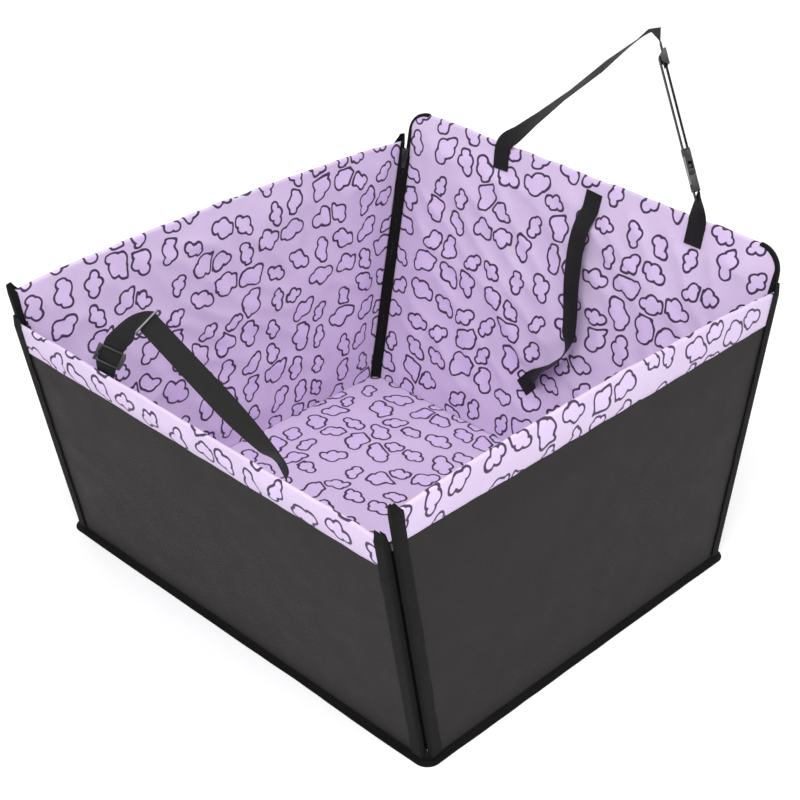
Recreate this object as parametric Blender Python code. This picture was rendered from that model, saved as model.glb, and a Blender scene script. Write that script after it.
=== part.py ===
"""Folding fabric car seat for a dog, in metres, +Z up, its front wall towards -Y.

Four stiffened walls are hinged round a stiffened base and zipped together at the corners.
A webbing strap on the back wall goes round a headrest, a second one guides the car's belt,
and a third stands along the front wall.
"""
import math

import bmesh
import bpy
from mathutils import Vector

for old_object in list(bpy.context.scene.objects):
    bpy.data.objects.remove(old_object, do_unlink=True)

# Driving sizes of the bucket: its plan, and each wall's upright height at its corners
base_width = 0.604
base_depth = 0.532
front_wall_height = 0.323
side_wall_height = 0.360
back_wall_height = 0.405
front_overhang = 0.068
back_overhang = 0.059
side_crown = 0.010
back_corner_radius = 0.030
base_corner_radius = 0.008

# Cloth, boards and tape
cloth = 0.0010
wall_board = 0.0020
clearance = 0.0003
hem_depth = 0.035
lining_puff = 0.004
front_puffed_share = 0.65
lining_ripple = 0.001
hem_puff = 0.0025
binding_tape = 0.0008
binding_width = 0.0127
binding_inner_width = 0.0072
corner_slit = 0.0012
stub_height = 0.010
base_tape = 0.0006
base_tape_gap = 0.00025
flange_width = 0.009
flange_thickness = 0.0016
board_inset = 0.0015

# Counts of folds, rows and columns
lining_columns = 18
lining_rows = 7
hem_rows = 4
turn_steps = 6
corner_steps = 6
lining_ripples = 5
hem_ripples = 7

# Zips
zip_inset = 0.0085
zip_tape = 0.0007
zip_tape_reach = 0.0142
coil_radius = 0.0009
coil_gap = 0.0016
zip_foot = 0.008
zip_below_rim = 0.008
coil_sides = 8
slider_length = 0.009
slider_half_width = 0.0042
slider_plate = 0.0008
slider_lip = 0.0008
slider_lip_gap = 0.00075
slider_post = 0.0010
slider_below_end = 0.006
crown_width = 0.0016
crown_half_length = 0.0026
crown_rise = 0.0026
crown_bar = 0.0010
pull_length = 0.022
pull_width = 0.0075
pull_plate = 0.0008
pull_eye_width = 0.0040
pull_eye_length = 0.0042
pull_bar = 0.0008
pull_tip_share = 0.7

# Webbing and its hardware
webbing_width = 0.025
webbing = 0.0012
bar = 0.0040
glide_bar = 0.0025
glide_pitch = 0.0085
glide_rail = 0.0031
rail_gap = 0.0009
rail_shoulder = 0.004
bar_sides = 10
ring_sides = 8
loop_steps = 8
strap_steps = 5
ring_inside = 0.032
ring_wire = 0.003
ring_opening = 0.004
ring_from_apex = 0.004
ring_seat = 0.00095
ring_corner = 0.003

# Headrest strap, on the back wall: X places, heights above the rim and lengths along its run
strap_centre = 0.0235
anchor_half_span = 0.1535
tab_depth = 0.034
apex_x = 0.066
apex_rise = 0.2015
apex_half_width = 0.004
buckle_x = 0.1705
buckle_rise = 0.0335
glide_from_apex = 0.0325
run_twist = math.radians(50)
loop_tail = 0.012

# Side-release buckle
buckle_half_width = 0.0160
buckle_thickness = 0.0084
buckle_slot = 0.0055
socket_body = 0.0225
cavity_half_width = 0.0110
cavity_thickness = 0.0046
cavity_depth = 0.0195
window_start = 0.0070
window_length = 0.0090
plug_half_width = 0.0145
plug_block = 0.0112
plug_thickness = 0.0038
tongue_half_width = 0.0022
tongue_length = 0.0160
buckle_edge = 0.0012

# Belt guide, on the back wall: its X places, the widest standoff, and twists in degrees
guide_standoff = 0.024
guide_across = (0.0235, 0.0220, 0.0190, 0.0255, 0.0370, 0.0340, 0.0080, -0.0080, -0.0228, -0.0360)
guide_up_shares = (0.960, 0.905, 0.830, 0.690, 0.500, 0.420, 0.345, 0.300, 0.2625, 0.221)
guide_off_shares = (0, 0, 0.45, 0.80, 0.85, 0.85, 0.75, 0.50, 0, 0)
guide_twists = (0, 0, 0, 0, 10, 70, 75, 45, 0, 0)

# Front strap, on the front wall: X places, distances in from the wall, heights from the rim
front_anchor_x = 0.150
front_rim_x = 0.138
front_rim_off = 0.011
front_apex_x = -0.117
front_apex_off = 0.058
front_apex_rise = 0.045
front_apex_twist = math.radians(120)
front_twists = ((0, 32), (0.10, 60), (0.28, 88), (0.50, 119), (0.80, 120), (0.965, 120), (1, 120))
front_glide_x = -0.142
front_glide_off = 0.0170
front_glide_rise = 0.0100
front_glide_lean = math.radians(45)
front_glide_twist = math.radians(-28)
front_tab_depth = 0.030
front_tab_length = 0.024
ribbon_squareness = 0.35

overrun = 0.002

# Stack of a wall's layers, measured outwards from the middle of its board
board_face = wall_board / 2
layer_near = board_face + clearance
layer_far = layer_near + cloth
hem_near = layer_far + clearance
hem_far = hem_near + cloth
binding_inner = layer_far + clearance
binding_inner_far = binding_inner + binding_tape
binding_outer = hem_far + clearance
binding_outer_far = binding_outer + binding_tape
hem_turn_radius = (hem_near + layer_near) / 2
hem_turn_centre = (hem_near - layer_near) / 2
corner_inset = binding_inner_far + corner_slit
edge_inset = corner_inset + binding_tape + clearance
lining_inset = edge_inset + cloth

# The fold lines lie so high that a wall can lie flat outside, over the seam's flange
fold_height = flange_thickness + binding_outer_far + 2 * clearance
base_top = fold_height + clearance
base_web_far = base_tape_gap + base_tape
wall_foot = math.hypot(base_web_far, clearance) + clearance
base_board_low = cloth + clearance
base_board_high = base_top - cloth - clearance

front_lean = math.atan2(front_overhang, front_wall_height)
back_lean = math.atan2(back_overhang, back_wall_height)
up_axis = Vector((0, 0, 1))


def slope_height(height, lean):
    """Length up a leaning wall from its fold line to an upright height."""
    return (height - fold_height) / math.cos(lean)


# Looks: sRGB hex colour, roughness, metallic
looks = {
    "black_oxford": ("#403C3D", 0.75, 0.0),
    "printed_oxford": ("#C9B2D8", 0.80, 0.0),
    "binding_tape": ("#2B292B", 0.85, 0.0),
    "zip_coil": ("#252326", 0.55, 0.0),
    "stiffener_board": ("#B9B7B2", 0.60, 0.0),
    "webbing": ("#2D2B2E", 0.80, 0.0),
    "buckle_plastic": ("#2A2A2B", 0.40, 0.0),
    "plated_steel": ("#8E8D8B", 0.30, 1.0),
    "painted_zinc": ("#29282A", 0.35, 0.6),
}


def linear(part):
    """Turn one sRGB channel into its linear value."""
    curve_start, low_slope, offset, power = 0.04045, 12.92, 0.055, 2.4
    if part <= curve_start:
        return part / low_slope
    return ((part + offset) / (1 + offset)) ** power


def make_look(name):
    """Make one material from the table of looks."""
    code, roughness, metallic = looks[name]
    material = bpy.data.materials.new(name)
    material.use_nodes = True
    shader = material.node_tree.nodes["Principled BSDF"]
    channels = [int(code[place:place + 2], 16) / 255 for place in (1, 3, 5)]
    shader.inputs["Base Color"].default_value = (*[linear(c) for c in channels], 1)
    shader.inputs["Roughness"].default_value = roughness
    shader.inputs["Metallic"].default_value = metallic
    return material


materials = {name: make_look(name) for name in looks}
pivots = {}
smooth_angle = math.radians(35)


def make_pivot(name, place, carrier=None):
    """Put an empty on a joint's axis; the pieces that move with the joint hang on it."""
    empty = bpy.data.objects.new(name, None)
    bpy.context.scene.collection.objects.link(empty)
    empty.location = place
    if carrier:
        empty.parent = pivots[carrier][0]
        empty.location = place - pivots[carrier][1]
    pivots[name] = (empty, place)


def make_piece(name, shape, look, pivot):
    """Turn a bmesh in world places into a named object that hangs on its pivot."""
    bmesh.ops.recalc_face_normals(shape, faces=shape.faces)
    empty, place = pivots[pivot]
    bmesh.ops.translate(shape, verts=shape.verts, vec=-place)
    mesh = bpy.data.meshes.new(name)
    shape.to_mesh(mesh)
    shape.free()
    mesh.shade_smooth()
    mesh.set_sharp_from_angle(angle=smooth_angle)
    mesh.materials.append(materials[look])
    piece = bpy.data.objects.new(name, mesh)
    bpy.context.scene.collection.objects.link(piece)
    piece.parent = empty
    return piece


def combine(piece, tool, operation):
    """Cut or join a tool shape into a piece, then drop the tool."""
    change = piece.modifiers.new("combine", "BOOLEAN")
    change.operation = operation
    change.solver = "EXACT"
    change.object = tool
    bpy.context.view_layer.update()
    graph = bpy.context.evaluated_depsgraph_get()
    result = bpy.data.meshes.new_from_object(piece.evaluated_get(graph))
    piece.modifiers.clear()
    piece.data = result
    bpy.data.objects.remove(tool, do_unlink=True)


def sweep(section, frames, closed=False):
    """Carry a flat section along frames of (origin, first axis, second axis)."""
    shape = bmesh.new()
    rings = []
    for origin, first, second in frames:
        rings.append([shape.verts.new(origin + first * a + second * b) for a, b in section])
    pairs = list(zip(rings, rings[1:]))
    if closed:
        pairs.append((rings[-1], rings[0]))
    count = len(section)
    for near, far in pairs:
        for index in range(count):
            after = (index + 1) % count
            shape.faces.new((near[index], near[after], far[after], far[index]))
    if not closed:
        shape.faces.new(rings[0])
        shape.faces.new(list(reversed(rings[-1])))
    return shape


def rectangle(low_a, low_b, high_a, high_b):
    """Corners of a rectangle between two corners of a section."""
    return [(low_a, low_b), (high_a, low_b), (high_a, high_b), (low_a, high_b)]


def circle(centre_a, centre_b, radius, sides):
    """Points round a circle of a section."""
    turns = [2 * math.pi * index / sides for index in range(sides)]
    return [(centre_a + radius * math.cos(t), centre_b + radius * math.sin(t)) for t in turns]


def rounded_loop(half_x, half_y, radius):
    """Places and outward directions round a rectangle with round corners."""
    loop = []
    for quarter, (side_x, side_y) in enumerate(((1, 1), (-1, 1), (-1, -1), (1, -1))):
        centre = Vector((side_x * (half_x - radius), side_y * (half_y - radius), 0))
        for step in range(corner_steps + 1):
            turn = (quarter + step / corner_steps) * math.pi / 2
            outward = Vector((math.cos(turn), math.sin(turn), 0))
            loop.append((centre + outward * radius, outward))
    return loop


class Wall:
    """A wall's own frame: along its fold line, outwards, and up its slope."""

    def __init__(self, name, heading, half_length, set_back, height, lean, slopes, crown, radius,
                 puffed):
        self.name = name
        self.along = Vector((math.cos(heading), math.sin(heading), 0))
        level_out = Vector((-math.sin(heading), math.cos(heading), 0))
        self.up = up_axis * math.cos(lean) + level_out * math.sin(lean)
        self.out = level_out * math.cos(lean) - up_axis * math.sin(lean)
        self.foot = level_out * set_back + up_axis * fold_height
        self.half_length = half_length
        self.slopes = slopes
        self.crown = crown
        self.radius = radius
        self.puffed = puffed
        self.top = slope_height(height, lean)
        self.plate_top = self.top - hem_turn_radius - cloth
        self.pivot = name + "_fold"
        make_pivot(self.pivot, self.foot, "base")

    def place(self, along, out, up):
        """World place of a point of this wall."""
        return self.foot + self.along * along + self.out * out + self.up * up

    def edge(self, side, up, inset):
        """Distance along the wall of its side edge, an inset in from the corner line."""
        slope = self.slopes[side]
        reach = self.half_length + slope * up - inset * math.hypot(1, slope)
        return reach if side else -reach

    def at_share(self, share, up, inset):
        """Distance along the wall at a share of its width, for one height."""
        low, high = self.edge(0, up, inset), self.edge(1, up, inset)
        return low + (high - low) * share

    def column_shares(self, inset):
        """Shares of the width at which the wall's shape is drawn, closer at its ends."""
        width = self.edge(1, self.plate_top, inset) - self.edge(0, self.plate_top, inset)
        ends = [0]
        if self.radius:
            steps = range(1, corner_steps + 1)
            ends += [self.radius * (1 - math.cos(s * math.pi / 2 / corner_steps)) for s in steps]
        else:
            ends.append(binding_width + clearance)
        ends = [end / width for end in ends]
        inner = 1 - 2 * ends[-1]
        middle = [ends[-1] + inner * k / lining_columns for k in range(1, lining_columns)]
        return ends + middle + [1 - end for end in reversed(ends)]

    def rim(self, share, inset):
        """Height of the boards' top edge at a share of the width."""
        height = self.plate_top + self.crown * (1 - (2 * share - 1) ** 2)
        width = self.edge(1, self.plate_top, inset) - self.edge(0, self.plate_top, inset)
        from_end = min(share, 1 - share) * width
        if self.radius and from_end < self.radius:
            short = self.radius - from_end
            height -= self.radius - math.sqrt(self.radius ** 2 - short ** 2)
        return height

    def puff(self, share, up, inset=lining_inset):
        """How far the lining stands in from the board, beyond lying flat on it."""
        reach = (self.rim(share, inset) - wall_foot) * self.puffed
        if not wall_foot < up < wall_foot + reach:
            return 0
        shares = self.column_shares(inset)
        first = shares[1] if not self.radius else shares[corner_steps]
        across = (share - first) / (1 - 2 * first)
        rise = (up - wall_foot) / reach
        if not 0 < across < 1:
            return 0
        ripple = lining_ripple * math.sin(2 * math.pi * lining_ripples * across)
        return (lining_puff + ripple) * math.sin(math.pi * across) * math.sin(math.pi * rise)

    def lining_face(self, along, up):
        """Distance out of the lining's inner face at a point of the wall."""
        low, high = self.edge(0, up, lining_inset), self.edge(1, up, lining_inset)
        share = (along - low) / (high - low)
        return -(layer_far + self.puff(share, up))

    def outline(self, inset):
        """Points (along, up) round a flat layer."""
        points = [(self.edge(0, wall_foot, inset), wall_foot)]
        points.append((self.edge(1, wall_foot, inset), wall_foot))
        for share in reversed(self.column_shares(inset)):
            up = self.rim(share, inset)
            points.append((self.at_share(share, up, inset), up))
        return points

    def make_layer(self, kind, look, low, high, inset):
        """A flat layer of the wall between two distances out."""
        frames = [(self.place(0, level, 0), self.along, self.up) for level in (low, high)]
        make_piece(self.name + kind, sweep(self.outline(inset), frames), look, self.pivot)

    def lining_column(self, share, folded):
        """Places up the lining's back, then over the boards' top and down to the hem's edge."""
        rim = self.rim(share, lining_inset)
        hem_end = min(self.plate_top - hem_depth, rim - hem_turn_radius)
        shares = self.column_shares(lining_inset)
        first = shares[1] if not self.radius else shares[corner_steps]
        across = min(max((share - first) / (1 - 2 * first), 0), 1)
        wave = (1 + math.sin(2 * math.pi * hem_ripples * across)) / 2
        swell = hem_puff * wave * math.sin(math.pi * across) ** 0.5
        points = []
        for row in range(lining_rows):
            up = wall_foot + (rim - wall_foot) * row / lining_rows
            points.append((-layer_near - self.puff(share, up), up))
        points.append((-layer_near, rim))
        for step in range(1, turn_steps + 1 if folded else 0):
            turn = math.pi * (1 - step / turn_steps)
            out = hem_turn_centre + hem_turn_radius * math.cos(turn)
            points.append((out, rim + hem_turn_radius * math.sin(turn)))
        for row in range(1, hem_rows + 1 if folded else 0):
            fall = row / hem_rows
            bulge = swell * math.sin(math.pi * fall)
            points.append((hem_near + bulge, rim + (hem_end - rim) * fall))
        return [self.place(self.at_share(share, up, lining_inset), out, up) for out, up in points]

    def make_lining(self):
        """Printed cloth up the inside, turned over the straight top and hemmed outside."""
        shape = bmesh.new()
        columns = []
        shares = self.column_shares(lining_inset)
        round_columns = corner_steps if self.radius else 0
        for index, share in enumerate(shares):
            folded = round_columns <= index < len(shares) - round_columns
            places = self.lining_column(share, folded)
            columns.append([shape.verts.new(place) for place in places])
        for left, right in zip(columns, columns[1:]):
            for row in range(min(len(left), len(right)) - 1):
                shape.faces.new((left[row], right[row], right[row + 1], left[row + 1]))
        bmesh.ops.recalc_face_normals(shape, faces=shape.faces)
        shape.faces.ensure_lookup_table()
        inward = shape.faces[0].normal.dot(self.out) < 0
        piece = make_sheet(self.name + "_lining", shape, "printed_oxford", self.pivot)
        skin = piece.modifiers.new("cloth", "SOLIDIFY")
        skin.thickness = cloth
        skin.offset = 1 if inward else -1
        skin.use_even_offset = True

    def make_binding(self, side, name):
        """Tape folded round one side edge of the stack, past the rim at the top."""
        toward = -self.along if side else self.along
        slope = self.slopes[side]
        rise = (self.up + (self.along if side else -self.along) * slope).normalized()
        inward = (toward + self.up * slope).normalized()
        frames = []
        straight_top = self.top - self.radius if self.radius else self.plate_top
        for up in (wall_foot, straight_top):
            along = self.edge(side, up, edge_inset)
            frames.append((self.place(along, 0, up), inward, self.out))
        if self.radius:
            centre = frames[-1][0] + inward * self.radius
            for step in range(1, corner_steps + 1):
                turn = step * math.pi / 2 / corner_steps
                spoke = inward * math.cos(turn) - self.up * math.sin(turn)
                frames.append((centre - spoke * self.radius, spoke, self.out))
        else:
            above = hem_turn_radius + cloth + stub_height
            frames.append((frames[-1][0] + rise * above, inward, self.out))
        web = -clearance - binding_tape
        section = [
            (binding_inner_width, -binding_inner), (-clearance, -binding_inner),
            (-clearance, binding_outer), (binding_width, binding_outer),
            (binding_width, binding_outer_far), (web, binding_outer_far),
            (web, -binding_inner_far), (binding_inner_width, -binding_inner_far),
        ]
        make_piece(name, sweep(section, frames), "binding_tape", self.pivot)


def make_sheet(name, shape, look, pivot):
    """Like a piece, but open and with its faces left as drawn, for a Solidify to thicken."""
    empty, place = pivots[pivot]
    bmesh.ops.translate(shape, verts=shape.verts, vec=-place)
    mesh = bpy.data.meshes.new(name)
    shape.to_mesh(mesh)
    shape.free()
    mesh.shade_smooth()
    mesh.materials.append(materials[look])
    piece = bpy.data.objects.new(name, mesh)
    bpy.context.scene.collection.objects.link(piece)
    piece.parent = empty
    return piece


def make_base():
    """Skin, board, lining and the bound seam round them, which stands out as a flange."""
    half_x, half_y = base_width / 2, base_depth / 2
    layers = (
        ("base_skin", "black_oxford", 0, cloth, 0),
        ("base_board", "stiffener_board", base_board_low, base_board_high, board_inset),
        ("base_lining", "printed_oxford", base_board_high + clearance, base_top, 0),
    )
    for name, look, low, high, inset in layers:
        loop = rounded_loop(half_x - inset, half_y - inset, base_corner_radius)
        outline = [(place.x, place.y) for place, _ in loop]
        frames = [(up_axis * level, Vector((1, 0, 0)), Vector((0, 1, 0))) for level in (low, high)]
        make_piece(name, sweep(outline, frames), look, "base")
    section = [
        (base_tape_gap, 0), (flange_width, 0), (flange_width, flange_thickness),
        (base_web_far, flange_thickness), (base_web_far, base_top), (base_tape_gap, base_top),
    ]
    loop = rounded_loop(half_x, half_y, base_corner_radius)
    frames = [(place, outward, up_axis) for place, outward in loop]
    make_piece("base_binding", sweep(section, frames, closed=True), "binding_tape", "base")


class Corner:
    """The frame of one corner: in from the side, in from the end wall, and up the line."""

    def __init__(self, name, side_sign, end_wall, side_wall):
        self.name = name
        self.end_wall = end_wall
        self.side_wall = side_wall
        self.from_side = Vector((-side_sign, 0, 0))
        self.from_end = -end_wall.out
        self.line = end_wall.up
        end_sign = -1 if end_wall.name.startswith("front") else 1
        self.foot = Vector((side_sign * base_width / 2, end_sign * base_depth / 2, fold_height))
        self.across = (self.from_end - self.from_side).normalized()
        self.inward = (self.from_end + self.from_side).normalized()
        self.centre = self.foot + (self.from_end + self.from_side) * zip_inset
        upright = min(front_wall_height if end_sign < 0 else side_wall_height, side_wall_height)
        lean = front_lean if end_sign < 0 else back_lean
        self.zip_top = slope_height(upright, lean) - zip_below_rim
        self.slider_up = self.zip_top - slider_below_end

    def tape_section(self):
        """Half a zip: tape on the binding, turned across the corner, with its coil."""
        near = binding_inner_far + clearance
        far = near + zip_tape
        chord = 2 * zip_inset
        lift = zip_tape / 2 * math.sqrt(2)
        centre_out = (coil_gap / 2 + coil_radius) / math.sqrt(2)
        bead_a, bead_b = zip_inset + centre_out, zip_inset - centre_out
        spread = math.asin(zip_tape / 2 / coil_radius)
        section = [(zip_tape_reach, near), (chord - lift - near, near)]
        for step in range(coil_sides + 1):
            whole = 2 * math.pi - 2 * spread
            turn = -math.pi / 4 - spread - whole * step / coil_sides
            section.append((bead_a + coil_radius * math.cos(turn),
                            bead_b + coil_radius * math.sin(turn)))
        section += [(chord + lift - far, far), (zip_tape_reach, far)]
        return section

    def make_half(self, wall, first, second, top):
        """One tape and its coil, on one of the two walls."""
        frames = [(self.foot + self.line * up, first, second) for up in (zip_foot, top)]
        name = "zip_" + self.name + "_on_" + wall.name.split("_")[0]
        make_piece(name, sweep(self.tape_section(), frames), "zip_coil", wall.pivot)

    def make_slider(self):
        """Slider body with its two plates, lips, post and crown."""
        place = self.centre + self.line * self.slider_up
        pivot = "zip_slide_" + self.name
        make_pivot(pivot, place, self.side_wall.pivot)
        inner = coil_radius + clearance
        outer = inner + slider_plate
        lip = slider_half_width - slider_lip
        half_post = slider_post / 2
        quarter = [(half_post, inner), (lip, inner), (lip, slider_lip_gap),
                   (slider_half_width, slider_lip_gap), (slider_half_width, outer)]
        section = quarter + [(-a, b) for a, b in reversed(quarter)]
        section += [(-a, -b) for a, b in quarter] + [(a, -b) for a, b in reversed(quarter)]
        ends = (-slider_length / 2, slider_length / 2)
        frames = [(place + self.line * up, self.across, self.inward) for up in ends]
        body = make_piece("zip_slider_" + self.name, sweep(section, frames), "painted_zinc", pivot)
        crown_low = outer - slider_plate / 2
        crown_high = outer + crown_rise
        reach = crown_half_length + crown_bar / 2
        arch = [(-reach, crown_low), (-reach, crown_high), (reach, crown_high), (reach, crown_low),
                (reach - crown_bar, crown_low), (reach - crown_bar, crown_high - crown_bar),
                (crown_bar - reach, crown_high - crown_bar), (crown_bar - reach, crown_low)]
        half = crown_width / 2
        frames = [(place + self.across * side, self.line, self.inward) for side in (-half, half)]
        crown = make_piece("crown_" + self.name, sweep(arch, frames), "painted_zinc", pivot)
        combine(body, crown, "UNION")
        self.make_pull(place, outer)

    def make_pull(self, place, plate_top):
        """Pull tab whose eye hangs by its top bar under the slider's crown."""
        level = plate_top + clearance + pull_bar / 2
        axis_place = place + self.inward * level
        pivot = "zip_pull_swing_" + self.name
        make_pivot(pivot, axis_place, "zip_slide_" + self.name)
        half = pull_width / 2
        shoulder = pull_eye_length + pull_bar
        tip = half * pull_tip_share
        outline = [(-half, pull_bar / 2), (half, pull_bar / 2), (half, -shoulder),
                   (tip, -pull_length), (-tip, -pull_length), (-half, -shoulder)]
        frames = [(axis_place + self.inward * side, self.across, self.line)
                  for side in (-pull_plate / 2, pull_plate / 2)]
        pull = make_piece("zip_pull_" + self.name, sweep(outline, frames), "painted_zinc", pivot)
        eye = rectangle(-pull_eye_width / 2, -pull_bar / 2 - pull_eye_length,
                        pull_eye_width / 2, -pull_bar / 2)
        frames = [(axis_place + self.inward * side, self.across, self.line)
                  for side in (-overrun, overrun)]
        cutter = make_piece("eye_" + self.name, sweep(eye, frames), "painted_zinc", pivot)
        combine(pull, cutter, "DIFFERENCE")

    def make(self):
        """Both halves, the slider and its pull."""
        slider_end = self.slider_up - slider_length / 2 - 2 * clearance
        self.make_half(self.end_wall, self.from_side, self.from_end, slider_end)
        self.make_half(self.side_wall, self.from_end, self.from_side, self.zip_top)
        self.make_slider()


def smooth_route(keys, steps):
    """Read points from a smooth curve through (place, width direction) keys."""
    ways = [after[0] - before[0] for before, after in zip(keys, keys[1:])]
    headings = [ways[0].normalized()]
    headings += [(a.normalized() + b.normalized()).normalized() for a, b in zip(ways, ways[1:])]
    headings.append(ways[-1].normalized())
    route = []
    for index, way in enumerate(ways):
        start, end = keys[index], keys[index + 1]
        leaving, arriving = headings[index] * way.length, headings[index + 1] * way.length
        for step in range(steps):
            t = step / steps
            place = start[0] + way * (3 * t ** 2 - 2 * t ** 3)
            place += leaving * (t ** 3 - 2 * t ** 2 + t) + arriving * (t ** 3 - t ** 2)
            route.append((place, start[1].lerp(end[1], t)))
    route.append(keys[-1])
    return route


def ribbon(route, squareness=1):
    """Flat webbing along a route, its width turned as the route says and squared to it."""
    frames = []
    for index, (place, side) in enumerate(route):
        before = route[max(index - 1, 0)][0]
        after = route[min(index + 1, len(route) - 1)][0]
        ahead = (after - before).normalized()
        width = (side - ahead * side.dot(ahead) * squareness).normalized()
        frames.append((place, width, ahead.cross(width).normalized()))
    half = webbing_width / 2
    return sweep(rectangle(-half, -webbing / 2, half, webbing / 2), frames)


class Run:
    """The frame of a straight stretch of webbing: along it, across it and off its face."""

    def __init__(self, start, end, side):
        self.start = start
        self.ahead = (end - start).normalized()
        self.length = (end - start).length
        self.width = (side - self.ahead * side.dot(self.ahead)).normalized()
        self.face = self.ahead.cross(self.width)

    def place(self, across, along, off):
        """World place of a point of this stretch."""
        return self.start + self.width * across + self.ahead * along + self.face * off

    def block(self, half_width, low, high, near, far):
        """A box across the webbing, between two places along it and two levels off it."""
        section = rectangle(low, near, high, far)
        frames = [(self.place(side, 0, 0), self.ahead, self.face)
                  for side in (-half_width, half_width)]
        return sweep(section, frames)

    def rod(self, half_width, along, off, radius):
        """A round bar across the webbing."""
        frames = [(self.place(side, 0, 0), self.ahead, self.face)
                  for side in (-half_width, half_width)]
        return sweep(circle(along, off, radius, bar_sides), frames)

    def profile(self, outline, near, far):
        """An outline drawn on the webbing's face, thick from one level to another."""
        frames = [(self.place(0, 0, level), self.width, self.ahead) for level in (near, far)]
        return sweep(outline, frames)


main_face = webbing / 2 + clearance
mid_bar_off = main_face + webbing + clearance + glide_bar / 2
front_bar_off = -main_face - glide_bar / 2
glide_loop = glide_bar / 2 + clearance + webbing / 2
bar_off = main_face + bar / 2
bar_loop = bar / 2 + main_face


def make_glide(name, run, along, pivot):
    """Three-bar slide adjuster: two bars before the webbing and the middle one behind it."""
    half = webbing_width / 2 + rail_gap
    far = half + glide_rail
    reach = glide_pitch + glide_bar / 2
    front_low = front_bar_off - glide_bar / 2
    back_high = mid_bar_off + glide_bar / 2
    bow = [(along - reach, front_low), (along + reach, front_low),
           (along + reach, front_bar_off + glide_bar / 2),
           (along + rail_shoulder, back_high), (along - rail_shoulder, back_high),
           (along - reach, front_bar_off + glide_bar / 2)]
    bodies = []
    for near_side, far_side in ((-far, -half), (half, far)):
        frames = [(run.place(side, 0, 0), run.ahead, run.face) for side in (near_side, far_side)]
        bodies.append(sweep(bow, frames))
    inside = half + glide_rail / 2
    radius = glide_bar / 2
    for place, off in ((-glide_pitch, front_bar_off), (glide_pitch, front_bar_off), (0, mid_bar_off)):
        bodies.append(run.rod(inside, along + place, off, radius))
    piece = make_piece(name, bodies[0], "buckle_plastic", pivot)
    for number, body in enumerate(bodies[1:]):
        tool = make_piece(name + "_join_" + str(number), body, "buckle_plastic", pivot)
        combine(piece, tool, "UNION")


def open_bar(piece, run, low, high, bar_place, pivot):
    """Open one end of a buckle half and put a round bar across it for the webbing."""
    half = webbing_width / 2 + rail_gap
    reach = buckle_thickness / 2 + overrun
    hole = run.block(half, low, high, bar_off - reach, bar_off + reach)
    rod = run.rod(half + overrun / 2, bar_place, bar_off, bar / 2)
    for number, (shape, operation) in enumerate(((hole, "DIFFERENCE"), (rod, "UNION"))):
        tool = make_piece(piece.name + "_tool_" + str(number), shape, "buckle_plastic", pivot)
        combine(piece, tool, operation)


def make_socket(run, top, pivot):
    """Female half of the side-release buckle: end bar, slot, hollow body, side windows."""
    middle = bar_off
    near, far = middle - buckle_thickness / 2, middle + buckle_thickness / 2
    mouth = top + bar + buckle_slot + socket_body
    round_end = buckle_edge * 2
    half = buckle_half_width
    outline = [(-half + round_end, top), (half - round_end, top), (half, top + round_end),
               (half, mouth - round_end), (half - buckle_edge, mouth),
               (-half + buckle_edge, mouth), (-half, mouth - round_end), (-half, top + round_end)]
    piece = make_piece("buckle_socket", run.profile(outline, near, far), "buckle_plastic", pivot)
    low_cut = middle - cavity_thickness / 2
    high_cut = middle + cavity_thickness / 2
    window = mouth - window_start - window_length
    open_bar(piece, run, top - overrun, top + bar + buckle_slot, top + bar / 2, pivot)
    cuts = (
        run.block(cavity_half_width, mouth - cavity_depth, mouth + overrun, low_cut, high_cut),
        run.block(half + overrun, window, window + window_length, low_cut, high_cut),
    )
    for number, shape in enumerate(cuts):
        tool = make_piece("socket_cut_" + str(number), shape, "buckle_plastic", pivot)
        combine(piece, tool, "DIFFERENCE")
    return mouth


def make_plug(run, mouth, pivot):
    """Male half: block with its webbing bar, a guide tongue and two sprung arms."""
    middle = bar_off
    start = mouth + clearance
    slot = start + plug_block
    bar_start = slot + buckle_slot
    end = bar_start + bar
    near, far = middle - buckle_thickness / 2, middle + buckle_thickness / 2
    half = plug_half_width
    block = [(-half, start), (half, start), (half, end - buckle_edge), (half - buckle_edge, end),
             (-half + buckle_edge, end), (-half, end - buckle_edge)]
    piece = make_piece("buckle_plug", run.profile(block, near, far), "buckle_plastic", pivot)
    open_bar(piece, run, slot, end + overrun, bar_start + bar / 2, pivot)
    reach = cavity_half_width - clearance
    root = start + overrun
    arm_shares = ((0.71, 0), (0.95, 0), (0.88, 0.40), (1.0, 0.52), (1.0, 0.76), (0.80, 1.0),
                  (0.66, 0.96), (0.70, 0.50))
    arm = [(reach * a, root - (tongue_length + overrun) * b) for a, b in arm_shares]
    tongue_end = start - tongue_length
    tongue = [(-tongue_half_width, root), (tongue_half_width, root),
              (tongue_half_width, tongue_end + buckle_edge), (0, tongue_end),
              (-tongue_half_width, tongue_end + buckle_edge)]
    shapes = (arm, [(-a, b) for a, b in arm], tongue)
    low, high = middle - plug_thickness / 2, middle + plug_thickness / 2
    for number, outline in enumerate(shapes):
        tool = make_piece("plug_arm_" + str(number), run.profile(outline, low, high),
                          "buckle_plastic", pivot)
        combine(piece, tool, "UNION")
    return bar_start + bar / 2


def turned(wall, ahead, twist):
    """Width direction of webbing that runs ahead along a wall and is twisted inwards."""
    flat = ahead.cross(wall.out).normalized()
    lift = ahead.cross(flat)
    if flat.dot(wall.along) < 0:
        flat = -flat
    return flat * math.cos(twist) + lift * math.sin(twist)


def half_turn(run, along, off, radius, first_angle, last_angle, steps):
    """Places round a bar, from one angle to another in the run's own plane."""
    places = []
    for step in range(steps + 1):
        turn = first_angle + (last_angle - first_angle) * step / steps
        places.append((run.place(0, along + radius * math.sin(turn), off - radius * math.cos(turn)),
                       run.width))
    return places


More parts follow.
